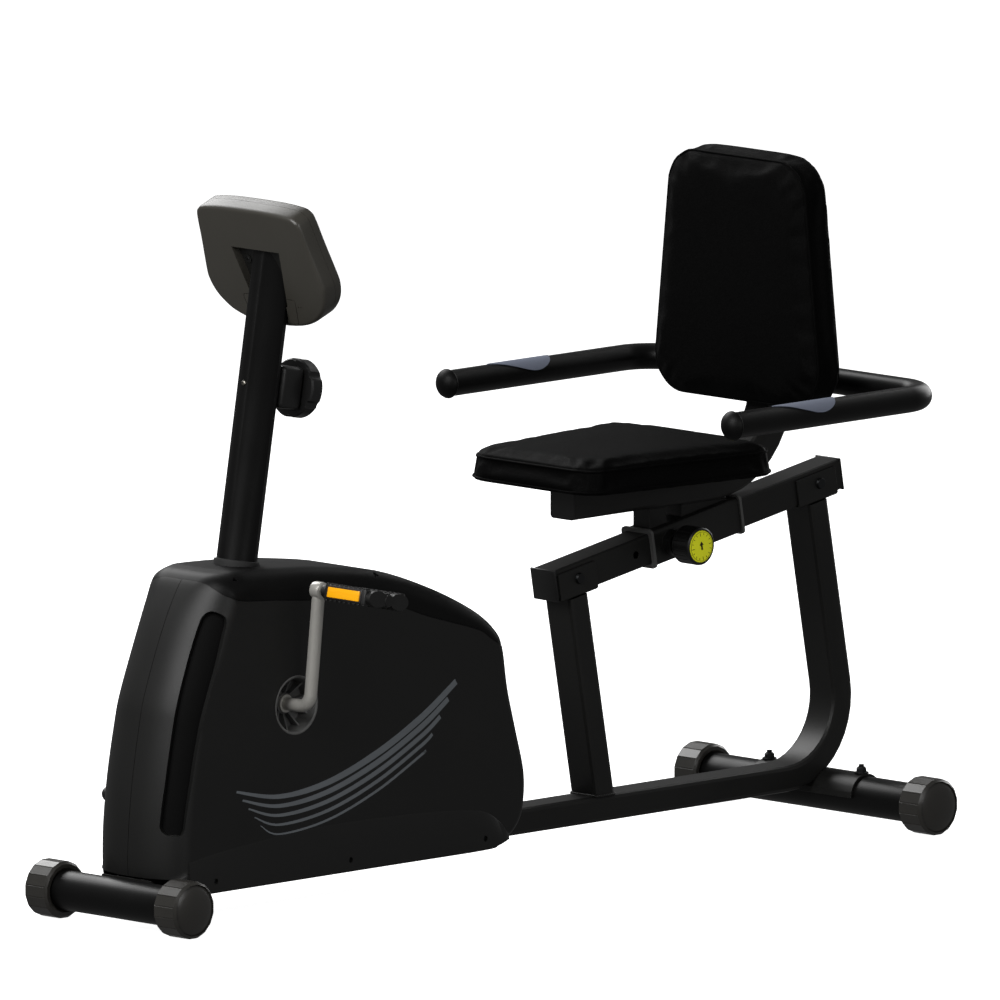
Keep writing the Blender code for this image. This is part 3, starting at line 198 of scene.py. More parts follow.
def upholstery_vinyl():
    """PVC upholstery cloth: pebbles about 1.6 mm across between fine creases, black and low in gloss."""
    material, tree = new_material("upholstery_vinyl")
    place = add(tree, "TexCoord").outputs["Object"]
    wander = add(tree, "TexNoise", {"Scale": 400.0, "Detail": 2.0}, {"Vector": place})
    bent = add(tree, "Mix", {"data_type": "VECTOR", 0: 0.0012}, {4: place, 5: wander.outputs["Color"]})
    pebbles = {"feature": "DISTANCE_TO_EDGE", "Scale": 1 / (1.6 * MM)}
    pebble = add(tree, "TexVoronoi", pebbles, {"Vector": bent.outputs[1]})
    crease = {1: 0.0, 2: 0.28, "interpolation_type": "SMOOTHSTEP"}
    height = add(tree, "MapRange", crease, {0: pebble.outputs[0]})
    relief = add(tree, "Bump", {"Distance": 0.12 * MM}, {"Height": height.outputs[0]})
    # The creases take the darker tone and the pebble tops the lighter: painted shade in the creases.
    tone = add(
        tree, "Mix", {"data_type": "RGBA", 6: linear("#010101"), 7: linear("#040404")}, {0: height.outputs[0]}
    )
    gloss = add(tree, "MapRange", {3: 0.72, 4: 0.55}, {0: height.outputs[0]})
    shader = add(
        tree, "BsdfPrincipled", {"Specular IOR Level": 0.05},
        {"Base Color": tone.outputs[2], "Roughness": gloss.outputs[0], "Normal": relief.outputs[0]},
    )
    add(tree, "OutputMaterial", None, {"Surface": shader.outputs[0]})
    return material


def prismatic_reflector_painted_glow():
    """Amber acrylic, moulded with 2.2 mm corner prisms that break its gloss into small cells, with a faint
    emission as a painted glow of reflected light.
    """
    material, tree = new_material("amber_reflector_acrylic_painted_glow")
    place = add(tree, "TexCoord").outputs["Object"]
    prisms = {"feature": "F1", "distance": "CHEBYCHEV", "Scale": 1 / (2.2 * MM), "Randomness": 0.0}
    cells = add(tree, "TexVoronoi", prisms, {"Vector": place})
    tone = add(
        tree, "Mix", {"data_type": "RGBA", 6: linear("#f0b012"), 7: linear("#dc9600")},
        {0: cells.outputs["Distance"]},
    )
    relief = add(tree, "Bump", {"Distance": 0.3 * MM, "Strength": 0.5}, {"Height": cells.outputs["Distance"]})
    # The emission is a painted glow that stands in for light the reflector sends back; it lights nothing.
    shader = add(
        tree, "BsdfPrincipled",
        {"Roughness": 0.22, "IOR": 1.49, "Emission Color": linear("#ff9c00"), "Emission Strength": 0.2},
        {"Base Color": tone.outputs[2], "Normal": relief.outputs[0]},
    )
    add(tree, "OutputMaterial", None, {"Surface": shader.outputs[0]})
    return material


def plywood():
    """Rotary-cut plywood, dark brown, with a grain about 3 mm across drawn out long along one axis."""
    material, tree = new_material("rotary_cut_plywood")
    place = add(tree, "TexCoord").outputs["Object"]
    drawn = add(tree, "Mapping", {"Scale": (1.0, 0.08, 1.0)}, {"Vector": place})
    grain = add(tree, "TexNoise", {"Scale": 1 / (3.0 * MM), "Detail": 6.0}, {"Vector": drawn.outputs[0]})
    tone = add(
        tree, "Mix", {"data_type": "RGBA", 6: linear("#120e0b"), 7: linear("#1e1813")},
        {0: grain.outputs["Fac"]},
    )
    relief = add(tree, "Bump", {"Distance": 0.1 * MM, "Strength": 0.6}, {"Height": grain.outputs["Fac"]})
    shader = add(
        tree, "BsdfPrincipled", {"Roughness": 0.7, "Specular IOR Level": 0.3},
        {"Base Color": tone.outputs[2], "Normal": relief.outputs[0]},
    )
    add(tree, "OutputMaterial", None, {"Surface": shader.outputs[0]})
    return material


# Polyester powder coat on steel tube: black, with an orange-peel relief 1.4 mm across and a satin gloss.
POWDER_COAT = surface("black_powder_coat", ("#121211", "#191918"), 0.44, 1.4, 0.09, 90, 0.07, 0.30)
# Round tube takes a thinner, smoother coat that shows a long soft streak.
TUBE_COAT = surface("black_tube_coat", ("#050505", "#090909"), 0.38, 1.1, 0.06, 70, 0.06, 0.2)
# ABS moulded in a spark-eroded tool: a fine 0.8 mm texture, dull black.
SHELL_ABS = surface("spark_textured_abs", ("#0e0e0e", "#131312"), 0.48, 0.8, 0.05, 120, 0.05, 0.34)
# The same ABS from a smoother tool, a little darker.
COVER_ABS = surface("smooth_cover_abs", ("#040404", "#070707"), 0.48, 0.9, 0.03, 120, 0.05, 0.14)
# The corner slot's floor: the same ABS made darker and duller, as painted shade in the recess.
SLOT_SHADE_ABS = surface("recess_abs_painted_shade", ("#040404", "#060606"), 0.70, 0.8, 0.05, 80, 0.05, 0.08)
# Warm grey ABS of the console's shells, satin from a fine-textured tool.
CONSOLE_ABS = surface("warm_grey_abs", ("#34322d", "#3a3833"), 0.38, 0.7, 0.03, 90, 0.05)
# Polypropylene foot caps: greasy satin, warm dark grey.
CAP_PP = surface("foot_cap_polypropylene", ("#262522", "#2e2c29"), 0.33, 1.0, 0.04, 40, 0.06, 0.55)
# Slide bushes and crank dishes are nylon, paler than the plastics round them.
BUSH_NYLON = surface("grey_bush_nylon", ("#4e4e4d", "#5a5a59"), 0.45, 0.8, 0.03, 40, 0.05, 0.4)
# Knobs, buttons and tube plugs: black ABS from a smooth tool, which gives a low soft gloss.
KNOB_ABS = surface("knob_abs", ("#0c0c0c", "#111111"), 0.40, 0.7, 0.03, 30, 0.05, 0.45)
# Pedal cages are filled polypropylene: duller, with a 0.9 mm texture.
PEDAL_PP = surface("pedal_polypropylene", ("#0e0e0e", "#151515"), 0.48, 0.9, 0.06, 30, 0.06, 0.45)
# Yellow ABS of the lock's disc, with a faint emission that is a painted glow of light falling on it, and the
# black pad-printed ink of its tick marks.
DISC_ABS_PAINTED_GLOW = surface(
    "yellow_disc_abs_painted_glow", ("#e6ea1c", "#eef030"), 0.36, 1.2, 0.02, 20, 0.04, 0.4,
    **{"Emission Color": linear("#d8dc10"), "Emission Strength": 0.16},
)
INK = surface("black_pad_ink", ("#1c1d0a", "#24250c"), 0.55, 0.5, 0.01, 20, 0.03, 0.3)
# Silver screen ink on the housing, a little raised and dull.
SILVER_INK = surface("silver_screen_ink", ("#63676b", "#6d7276"), 0.50, 0.6, 0.02, 50, 0.05, 0.4)
# Satin chrome on the crank, its lines drawn along the bar, which softens what it reflects.
CRANK_PLATE = brushed(
    "satin_chrome_plate", ("#b2b0aa", "#c2c0ba"), 0.34, (1.0, 1.0, 8.0), 0.9, 0.02, Metallic=0.5
)
# Black zinc on screws and nuts: a dark metal gleam.
ZINC = brushed("black_zinc_fastener", ("#2b2c2d", "#3b3c3d"), 0.42, (1.0, 1.0, 1.0), 0.8, 0.03)
# Spindles and bearings: bright steel with fine lathe lines.
STEEL = brushed("turned_steel", ("#77746d", "#8f8c85"), 0.34, (1.0, 4.0, 1.0), 0.6, 0.02)
# Pulse contacts: stainless steel, blasted until it is pale, cool and nearly matt.
STAINLESS = brushed(
    "stainless_contact", ("#6c7281", "#787e8d"), 0.6, (12.0, 1.0, 1.0), 0.5, 0.01, 0.1, Metallic=0.1
)
# The flywheel: grey cast iron, turned on its faces.
IRON = brushed("turned_cast_iron", ("#39393a", "#4b4b4c"), 0.52, (1.0, 1.0, 1.0), 1.4, 0.08)
# Rubber of the belt and of the post's grommet, matt and grey-black.
BELT_RUBBER = surface("ribbed_belt_rubber", ("#101010", "#181818"), 0.75, 0.9, 0.08, 30, 0.05)
# The console's window: grey-green glass over dark segments, in a polished black bezel.
LCD_GLASS = surface(
    "liquid_crystal_window", ("#6d7566", "#78806f"), 0.12, 2.0, 0.0, 60, 0.03, **{"Coat Weight": 0.6}
)
LCD_INK = surface("liquid_crystal_segment", ("#262b25", "#2f352d"), 0.25, 1.0, 0.0, 40, 0.02)
BEZEL_GLOSS = surface(
    "piano_black_bezel", ("#060606", "#0a0a0a"), 0.12, 3.0, 0.0, 60, 0.04, **{"Coat Weight": 0.5}
)
VINYL = upholstery_vinyl()
REFLECTOR_PAINTED_GLOW = prismatic_reflector_painted_glow()
PLYWOOD = plywood()


# ---- Shaping ---------------------------------------------------------------------------------------


def settled(bm, place=None):
    """Merges doubled points, turns faces outward and puts the shape in its place."""
    if place:
        bmesh.ops.transform(bm, matrix=place, verts=bm.verts)
    bmesh.ops.remove_doubles(bm, verts=bm.verts, dist=MERGED_SHAPE)
    bmesh.ops.recalc_face_normals(bm, faces=bm.faces)
    return bm


def finished(bm, name, material, body, replaced=(), sharp=30, bevel=0.0, segments=2, smooth=0):
    """Turns a settled shape into a piece that rides on a CAD body."""
    mesh = bpy.data.meshes.new(name)
    bm.to_mesh(mesh)
    bm.free()
    mesh.shade_smooth()
    mesh.set_sharp_from_angle(angle=math.radians(sharp))
    mesh.materials.append(material)
    piece = bpy.data.objects.new(name, mesh)
    bpy.context.scene.collection.objects.link(piece)
    if bevel:
        edge = piece.modifiers.new("broken_edges", "BEVEL")
        edge.width = bevel
        edge.segments = segments
        edge.limit_method = "ANGLE"
        edge.angle_limit = math.radians(sharp)
        edge.harden_normals = True
    if smooth:
        rounding = piece.modifiers.new("rounding", "SUBSURF")
        rounding.levels = smooth
        rounding.render_levels = smooth
    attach(piece, body)
    if replaced:
        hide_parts(*replaced)
    return piece


def facing(bm, way):
    """Turns a sheet's faces to look mostly one way."""
    bmesh.ops.recalc_face_normals(bm, faces=bm.faces)
    if sum(f.normal.dot(way) for f in bm.faces) < 0:
        bmesh.ops.reverse_faces(bm, faces=bm.faces)
    return bm


def joined(*shapes):
    """Several closed shapes in one mesh."""
    whole = bmesh.new()
    for shape in shapes:
        mesh = bpy.data.meshes.new("joined")
        shape.to_mesh(mesh)
        shape.free()
        whole.from_mesh(mesh)
        bpy.data.meshes.remove(mesh)
    return whole


def copied(bm, place=None):
    other = bm.copy()
    if place:
        bmesh.ops.transform(other, matrix=place, verts=other.verts)
        if place.determinant() < 0:
            bmesh.ops.reverse_faces(other, faces=other.faces)
    return other


def as_object(bm, name):
    mesh = bpy.data.meshes.new(name)
    bm.to_mesh(mesh)
    obj = bpy.data.objects.new(name, mesh)
    bpy.context.scene.collection.objects.link(obj)
    return obj


def evaluated(obj):
    """The shape that an object's modifiers make. The object is then removed."""
    graph = bpy.context.evaluated_depsgraph_get()
    mesh = bpy.data.meshes.new_from_object(obj.evaluated_get(graph))
    bm = bmesh.new()
    bm.from_mesh(mesh)
    bpy.data.meshes.remove(mesh)
    bpy.data.objects.remove(obj)
    return bm


def carved(bm, *steps):
    """Boolean steps on a shape, each an operation and the shape that does it."""
    base = as_object(bm, "blank")
    bm.free()
    tools = []
    for operation, shape in steps:
        tool = as_object(shape, "tool")
        tools.append(tool)
        modifier = base.modifiers.new(operation, "BOOLEAN")
        modifier.operation = operation
        modifier.object = tool
        modifier.solver = "MANIFOLD"
    result = evaluated(base)
    for tool in tools:
        bpy.data.objects.remove(tool)
    bmesh.ops.remove_doubles(result, verts=result.verts, dist=MERGED_CARVING)
    return result


def lathe(profile, steps=48, place=None, turn=0.0, closed=False):
    """A shape turned about the local z from (radius, height) points."""
    bm = bmesh.new()
    verts = [bm.verts.new((r * math.cos(turn), r * math.sin(turn), z)) for r, z in profile]
    edges = [bm.edges.new(pair) for pair in zip(verts, verts[1:])]
    if closed:
        edges.append(bm.edges.new((verts[-1], verts[0])))
    bmesh.ops.spin(
        bm, geom=verts + edges, cent=(0, 0, 0), axis=(0, 0, 1), angle=2 * HALF_TURN, steps=steps,
        use_merge=True,
    )
    return settled(bm, place)


def prism(outline, height, place=None):
    """A plate with its outline in the local xy plane, centred on it."""
    bm = bmesh.new()
    face = bm.faces.new([bm.verts.new((p[0], p[1], -height / 2)) for p in outline])
    made = bmesh.ops.extrude_face_region(bm, geom=[face])["geom"]
    bmesh.ops.translate(bm, vec=(0, 0, height), verts=[v for v in made if isinstance(v, bmesh.types.BMVert)])
    return settled(bm, place)


def block(size, bevel=0.0, place=None, segments=2):
    bm = bmesh.new()
    bmesh.ops.create_cube(bm, size=1)
    bmesh.ops.scale(bm, vec=size, verts=bm.verts)
    if bevel:
        bmesh.ops.bevel(
            bm, geom=bm.edges, offset=bevel, segments=segments, profile=0.5, affect="EDGES", material=-1
        )
    return settled(bm, place)


def rod(radius, length, place=None, steps=32):
    half = length / 2
    return lathe([(0, half), (radius, half), (radius, -half), (0, -half)], steps, place)


def washer(inner, outer, top, bottom, place=None, steps=40):
    """A flat ring between two radii."""
    return lathe([(inner, top), (outer, top), (outer, bottom), (inner, bottom)], steps, place, closed=True)


def tapered(half, start, far_half, finish):
    """Corners of a plate that goes from one half width to another."""
    return [(-half, start, 0), (half, start, 0), (far_half, finish, 0), (-far_half, finish, 0)]


def spaced(count, start=0.0):
    """Turns about the local z, evenly spaced all the way round."""
    return [turned(index * 2 * HALF_TURN / count + start) for index in range(count)]


def rounded(points, radius, steps, closed=True):
    """A path of points with its corners rounded."""
    points = [Vector(p) for p in points]
    result = []
    for i, corner in enumerate(points):
        if not closed and i in (0, len(points) - 1):
            result.append(corner)
            continue
        to_last = (points[i - 1] - corner).normalized()
        to_next = (points[(i + 1) % len(points)] - corner).normalized()
        half = to_last.angle(to_next) / 2
        centre = corner + (to_last + to_next).normalized() * (radius / math.sin(half))
        first = corner + to_last * (radius / math.tan(half)) - centre
        last = corner + to_next * (radius / math.tan(half)) - centre
        turn = first.angle(last)
        for step in range(steps + 1):
            share = step / steps
            near = math.sin((1 - share) * turn) * first + math.sin(share * turn) * last
            result.append(centre + near / math.sin(turn))
    return result


def smoothed(points, steps, closed=False):
    """A smooth path through points of any size, with so many steps between each two."""
    count = len(points)
    result = []
    for i in range(count if closed else count - 1):
        if closed:
            a, b, c, d = (Vector(points[(i + k) % count]) for k in (-1, 0, 1, 2))
        else:
            a, b, c, d = (Vector(points[min(max(i + k, 0), count - 1)]) for k in (-1, 0, 1, 2))
        for step in range(steps):
            t = step / steps
            bend, twist = 2 * a - 5 * b + 4 * c - d, 3 * b - a - 3 * c + d
            result.append(b + (c - a) * t / 2 + bend * t * t / 2 + twist * t**3 / 2)
    if not closed:
        result.append(Vector(points[-1]))
    return result


def arc(radius, start, end, steps, centre=(0, 0)):
    """Points along an arc, with angles in degrees."""
    angles = [math.radians(start + (end - start) * i / steps) for i in range(steps + 1)]
    return [(centre[0] + radius * math.cos(a), centre[1] + radius * math.sin(a)) for a in angles]


def tube(path, radius, resolution=6, place=None, cyclic=False):
    """A round bar along a path."""
    curve = bpy.data.curves.new("bar", "CURVE")
    curve.dimensions = "3D"
    curve.bevel_depth = radius
    curve.bevel_resolution = resolution
    curve.use_fill_caps = not cyclic
    spline = curve.splines.new("POLY")
    spline.points.add(len(path) - 1)
    spline.use_cyclic_u = cyclic
    for point, spot in zip(spline.points, path):
        point.co = (*spot, 1)
    obj = bpy.data.objects.new("bar", curve)
    bpy.context.scene.collection.objects.link(obj)
    return settled(evaluated(obj), place)


def mapped(columns, rows, place_of):
    """A sheet of quads whose points are placed by their column and row."""
    bm = bmesh.new()
    bmesh.ops.create_grid(bm, x_segments=columns - 1, y_segments=rows - 1, size=0.5)
    for vert in bm.verts:
        column = round((vert.co.x + 0.5) * (columns - 1))
        row = round((vert.co.y + 0.5) * (rows - 1))
        vert.co = place_of(column, row)
    return bm


def thickened(bm, thickness):
    """Gives a sheet its wall, behind its faces."""
    bmesh.ops.solidify(bm, geom=bm.faces, thickness=thickness)
    return settled(bm)


def cleaned(node):
    """A copy of a CAD node's shape with its flat faces whole."""
    bm = bmesh.new()
    bm.from_mesh(nodes[node].data)
    bmesh.ops.remove_doubles(bm, verts=bm.verts, dist=MERGED_CAD)
    bmesh.ops.dissolve_limit(bm, angle_limit=math.radians(0.6), verts=bm.verts, edges=bm.edges)
    return bm


def faired(node, material, bevel=0.0, sharp=30):
    """A clean copy of a CAD node, its edges broken as paint and tooling leave them."""
    body = nodes[node]["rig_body"]
    return finished(cleaned(node), f"{node}_finish", material, body, [node], sharp, bevel)


def dress(material, *names):
    """Gives CAD nodes that keep their own mesh a better material."""
    for name in names:
        mesh = nodes[name].data
        mesh.materials.clear()
        mesh.materials.append(material)


def screw_head(radius, height, place):
    """A pan-head screw, with a cross cut in it."""
    crown = ((0, 1), (0.55, 0.92), (0.9, 0.55), (1, 0), (0, 0))
    head = lathe([(radius * r, height * z) for r, z in crown], 24)
    for turn in (0, QUARTER_TURN):
        bar = block((radius * 1.3, radius * 0.28, height), 0, turned(turn) @ moved(0, 0, height))
        head = carved(head, ("DIFFERENCE", bar))
        bar.free()
    return settled(head, place)


def hexagon_head(width, height, place):
    """A bolt head or nut: six flats under a shallow turned cone."""
    radius = width / 2 / math.cos(HALF_TURN / 6)
    flats = lathe([(0, height), (radius, height), (radius, 0), (0, 0)], 6)
    wide = radius * 1.02
    cone = lathe([(0, height), (width / 2 * 0.95, height), (wide, height * 0.82), (wide, 0), (0, 0)], 36)
    head = carved(flats, ("INTERSECT", cone))
    cone.free()
    return settled(head, place)


# ---- Camera and light ------------------------------------------------------------------------------


def camera():
    """A long lens, three quarters on from the front left and a little above."""
    lens, sensor, view_width = 1500.0, 36.0, 1 / 0.7
    azimuth, elevation = math.radians(-45), math.radians(8.685)
    level = math.cos(elevation)
    back = Vector((math.sin(azimuth) * level, -math.cos(azimuth) * level, math.sin(elevation)))
    data = bpy.data.cameras.new("camera")
    data.lens = lens
    data.sensor_width = sensor
    data.clip_start = 1.0
    data.clip_end = 400.0
    eye = bpy.data.objects.new("camera", data)
    bpy.context.scene.collection.objects.link(eye)
    aim = at(0.7633, 0, 0.5296).translation
    eye.location = aim + back * (view_width * lens / sensor)
    eye.rotation_mode = "QUATERNION"
    eye.rotation_quaternion = (-back).to_track_quat("-Z", "Y")
    bpy.context.scene.camera = eye


def softbox(name, spot, size, power, aim=(0, 0, 0.5)):
    data = bpy.data.lights.new(name, "AREA")
    data.shape = "RECTANGLE"
    data.size, data.size_y = size
    data.energy = power
    light = bpy.data.objects.new(name, data)
    bpy.context.scene.collection.objects.link(light)
    light.location = spot
    light.rotation_mode = "QUATERNION"
    light.rotation_quaternion = (Vector(aim) - Vector(spot)).to_track_quat("-Z", "Y")


def studio():
    """A pale floor, a dim room and softboxes in front, to the left, high on the right and behind."""
    scene = bpy.context.scene
    scene.view_settings.view_transform = "Standard"
    world = bpy.data.worlds.new("room")
    scene.world = world
    world.use_nodes = True
    tree = world.node_tree
    tree.nodes.clear()
    room = add(tree, "Background", {"Color": linear("#ffffff"), "Strength": 0.16})
    add(tree, "OutputWorld", None, {"Surface": room.outputs[0]})
    softbox("key_softbox", (-3.8, -0.4, 3.0), (2.4, 2.4), 175)
    softbox("left_softbox", (-1.0, -4.6, 2.2), (2.0, 2.4), 44)
    softbox("rim_softbox", (0.5, 3.5, 3.2), (3.2, 2.0), 125)
    softbox("rear_softbox", (4.0, 0.6, 1.6), (2.2, 2.2), 50)
    bm = bmesh.new()
    bmesh.ops.create_grid(bm, x_segments=1, y_segments=1, size=60)
    mesh = bpy.data.meshes.new("studio_floor")
    bm.to_mesh(mesh)
    bm.free()
    floor = bpy.data.objects.new("studio_floor", mesh)
    scene.collection.objects.link(floor)
    material, tree = new_material("white_sweep")
    shader = add(
        tree, "BsdfPrincipled",
        {
            "Base Color": linear("#f4f4f4"), "Roughness": 1.0, "Specular IOR Level": 0.0,
            "Emission Color": linear("#ffffff"), "Emission Strength": 0.95,
        },
    )
    add(tree, "OutputMaterial", None, {"Surface": shader.outputs[0]})
    mesh.materials.append(material)
    floor.location.z = -0.0005
    floor.visible_glossy = False
    floor.visible_diffuse = False


# ---- Frame -----------------------------------------------------------------------------------------


def frame_tubes():
    for node in ("front_upright", "seat_rail"):
        faired(node, POWDER_COAT, 0.0012, 25)
    for node in ("front_rail_bracket", "rear_rail_bracket"):
        faired(node, POWDER_COAT, 0.0008, 35)
    faired("rear_saddle", POWDER_COAT, 0.0006, 35)
    # The main beam and the front saddle are cut back to leave room for the stabiliser and the nose.
    for node, front, height, sharp, bevel in (
        ("main_beam", 0.0225, 0.065, 25, 0.0012), ("front_saddle", 0.014, 0.05, 35, 0.0006),
    ):
        shape = carved(cleaned(node), ("DIFFERENCE", block((0.1, 0.3, 0.2), 0, at(front - 0.05, 0, height))))
        finished(
            settled(shape), f"{node}_finish", POWDER_COAT, "frame", [node], sharp, bevel
        )
    faired("console_post", TUBE_COAT, 0, 35)
    for end, x in (("front", 0), ("rear", WHEELBASE)):
        length = 2 * (CAP_FACES[end] - 0.006)
        outer, inner = 0.0285, 0.0265
        profile = [(outer, length / 2), (outer, -length / 2), (inner, -length / 2), (inner, length / 2)]
        bm = lathe(profile, 64, at(x, 0, STABILISER_Z) @ TO_RIGHT, closed=True)
        finished(bm, f"{end}_stabiliser_tube", TUBE_COAT, "frame", [f"{end}_stabiliser"])
    for end in ("front", "rear"):
        faired(f"rail_plug_{end}", KNOB_ABS, 0.0006, 35)
        faired(f"{end}_rail_bolt", ZINC, 0.0004, 25)


def foot_cap(end, side):
    """A moulded cap with sixteen raised pads round it, a fine groove between each, and a domed end."""
    flats = 16
    flat, top, bore = STABILISER_Z / math.cos(HALF_TURN / flats) - 0.0010, CAP_LENGTH, 0.0287
    profile = [
        (flat - 0.0030, top), (flat, top - 0.0030), (flat, 0.0030), (flat - 0.0026, 0),
        (bore + 0.004, 0), (bore, 0.003), (bore, top - 0.004), (flat - 0.0045, top - 0.004),
    ]
    barrel = lathe(profile, flats, turn=HALF_TURN / flats, closed=True)
    pads = [
        f for f in barrel.faces
        if abs(f.normal.z) < 0.1 and f.calc_center_median().xy.length > 0.036 and f.calc_area() > 0.0004
    ]
    bmesh.ops.inset_individual(barrel, faces=pads, thickness=0.0007, depth=0.0010, use_even_offset=True)
    dome = [
        (0, top + 0.0045), (0.010, top + 0.0042), (0.020, top + 0.0032), (0.028, top + 0.0016),
        (0.0335, top - 0.0004), (0.0368, top - 0.0026), (flat - 0.0026, top - 0.004), (0, top - 0.004),
    ]
    x = 0 if end == "front" else WHEELBASE
    sign = SIDES[side]
    place = at(x, sign * (CAP_FACES[end] - CAP_LENGTH), STABILISER_Z) @ OUTWARD[sign]
    cap = settled(joined(barrel, lathe(dome, 64)), place)
    finished(cap, f"{end}_foot_cap_{side}", CAP_PP, "frame", [f"{end}_cap_{side}"], 20)


def saddle_bolts():
    """Nuts that clamp the rear stabiliser, on washers that fit the half pipe."""
    for side, sign in SIDES.items():
        place = at(WHEELBASE, sign * 0.093, STABILISER_Z + 0.0325)
        seat = rod(0.0105, 0.0018, place @ moved(0, 0, 0.0006))
        nut = hexagon_head(0.013, 0.0065, place @ moved(0, 0, 0.0015))
        stud = rod(0.0038, 0.012, place @ moved(0, 0, 0.0065), 24)
        bm = joined(seat, nut, stud)
        finished(bm, f"saddle_nut_{side}", ZINC, "frame", bevel=0.0003)


def tube_plugs():
    """A moulded plug in the front end of the seat beam and in the top of its post."""
    ends = {
        "seat_beam_front_plug": at(0.891, 0, 0.513) @ TO_FRONT, "seat_beam_top_plug": at(1.314, 0, 0.860),
    }
    for name, place in ends.items():
        corners = tapered(0.025, -0.024, 0.025, 0.024)
        flange = prism(rounded(corners, 0.006, 5), 0.0022, place @ moved(0, 0, 0.0011))
        inner = [(x * 0.88, y * 0.88, 0) for x, y, _ in corners]
        stub = prism(rounded(inner, 0.004, 4), 0.018, place @ moved(0, 0, -0.0085))
        finished(joined(flange, stub), name, KNOB_ABS, "carriage", bevel=0.0007, sharp=40)


# ---- Housing ---------------------------------------------------------------------------------------

SHELL_HALF = 0.085
SHELL_WALL = 0.0025
SHELL_FOOT = 0.0465
# Side profile from the front of the bottom edge, up the nose, over the top and down the rear: X, Z, and how
# far the surface comes in from the profile and in from the side there.
SHELL_PROFILE = (
    (0.034, 0.0465, 0.028, 0.060), (0.018, 0.071, 0.045, 0.076), (0.0185, 0.134, 0.045, 0.076),
    (0.0265, 0.209, 0.046, 0.076), (0.0400, 0.284, 0.048, 0.077), (0.0505, 0.327, 0.050, 0.078),
    (0.0787, 0.400, 0.052, 0.078), (0.106, 0.456, 0.048, 0.070), (0.130, 0.489, 0.040, 0.052),
    (0.160, 0.4965, 0.034, 0.036), (0.190, 0.4965, 0.030, 0.030), (0.265, 0.493, 0.030, 0.030),
    (0.343, 0.486, 0.030, 0.030), (0.456, 0.468, 0.030, 0.030), (0.560, 0.432, 0.028, 0.028),
    (0.640, 0.393, 0.024, 0.024), (0.678, 0.362, 0.018, 0.018), (0.691, 0.335, 0.014, 0.014),
    (0.700, 0.275, 0.012, 0.012), (0.716, 0.215, 0.012, 0.012), (0.733, 0.150, 0.012, 0.012),
    (0.731, 0.100, 0.012, 0.012), (0.718, 0.072, 0.012, 0.012), (0.690, 0.054, 0.010, 0.010),
    (0.647, 0.0465, 0.008, 0.008),
)
# The cover's lower edge, from the front to the rear: X, Z.
COVER_EDGE = (
    (0.112, 0.560), (0.118, 0.520), (0.128, 0.478), (0.146, 0.463), (0.172, 0.457), (0.230, 0.452),
    (0.294, 0.445), (0.400, 0.435), (0.455, 0.424), (0.492, 0.411), (0.530, 0.397), (0.577, 0.383),
    (0.638, 0.364), (0.672, 0.343), (0.760, 0.300),
)
# The top and foot of the skirt, from the front to the rear: X, Z.
SKIRT_TOP = (
    (0.0555, 0.0945), (0.100, 0.1015), (0.169, 0.108), (0.240, 0.1135), (0.315, 0.117), (0.420, 0.117),
    (0.517, 0.114), (0.608, 0.108), (0.651, 0.100), (0.678, 0.083), (0.696, 0.064),
)
SKIRT_FOOT = (
    (0.0555, 0.0465), (0.20, 0.0465), (0.45, 0.0465), (0.640, 0.0465), (0.672, 0.0505), (0.693, 0.0575),
)
SKIRT_SCREWS = ((0.106, 0.063), (0.375, 0.063), (0.646, 0.063))
COVER_SCREWS = ((0.161, 0.5115), (0.441, 0.487))
# The slot down the left front corner: height, how far round the corner its middle is in degrees, and half
# its width.
CORNER_SLOT = (
    (0.150, 54.6, 0.0235), (0.212, 59.2, 0.0260), (0.321, 61.6, 0.0275), (0.383, 60.6, 0.0270),
    (0.441, 57.6, 0.0245),
)
SLOT_ENDS = (0.1355, 0.458)
SLOT_END_RADIUS = 0.015
# The front corner is near enough an ellipse this far across, deep and round.
CORNER_SPREAD, CORNER_DEPTH, CORNER_REACH = 0.075, 0.052, 0.0583


def shell_path(steps=5):
    return smoothed(SHELL_PROFILE, steps)


def shell_point(path, index, turn):
    """A point on the right half of the housing, turned from its nose, 0, to its side, a quarter turn."""
    x, z, depth, spread = path[index]
    before, after = path[max(index - 1, 0)], path[min(index + 1, len(path) - 1)]
    along = Vector((after[0] - before[0], after[1] - before[1])).normalized()
    inward = Vector((along.y, -along.x))
    if index in (0, len(path) - 1):
        inward = Vector((1 if index == 0 else -1, 0))
    reach = depth * (1 - math.cos(turn))
    y = SHELL_HALF - spread * (1 - math.sin(turn))
    return Vector((x - CENTRE_X + inward.x * reach, y, z + inward.y * reach))


def shell_skin(steps=10):
    """The right half of the housing as an open skin, with its bottom open."""
    path = shell_path()

    def place_of(column, row):
        if column == 0:
            nose = shell_point(path, row, 0)
            return Vector((nose.x, 0, nose.z))
        return shell_point(path, row, QUARTER_TURN * (column - 1) / steps)

    bm = mapped(steps + 2, len(path), place_of)
    rim = {v for v in bm.verts if v.co.y > SHELL_HALF - TOUCHING}
    low = {v for v in bm.verts if v.co.z < SHELL_FOOT + TOUCHING}
    side = [e for e in bm.edges if e.is_boundary and rim.issuperset(e.verts)]
    foot = [e for e in bm.edges if e.is_boundary and low.issuperset(e.verts)]
    side.append(bm.edges.new([v for v in rim if v in low]))
    foot += [side[-1], bm.edges.new([v for v in bm.verts if v in low and v.co.y < TOUCHING])]
    bmesh.ops.contextual_create(bm, geom=side)
    bmesh.ops.contextual_create(bm, geom=foot)
    bmesh.ops.recalc_face_normals(bm, faces=bm.faces)
    widest = max(bm.faces, key=lambda f: f.calc_area())
    if widest.normal.y < 0:
        bmesh.ops.reverse_faces(bm, faces=bm.faces)
    return bm


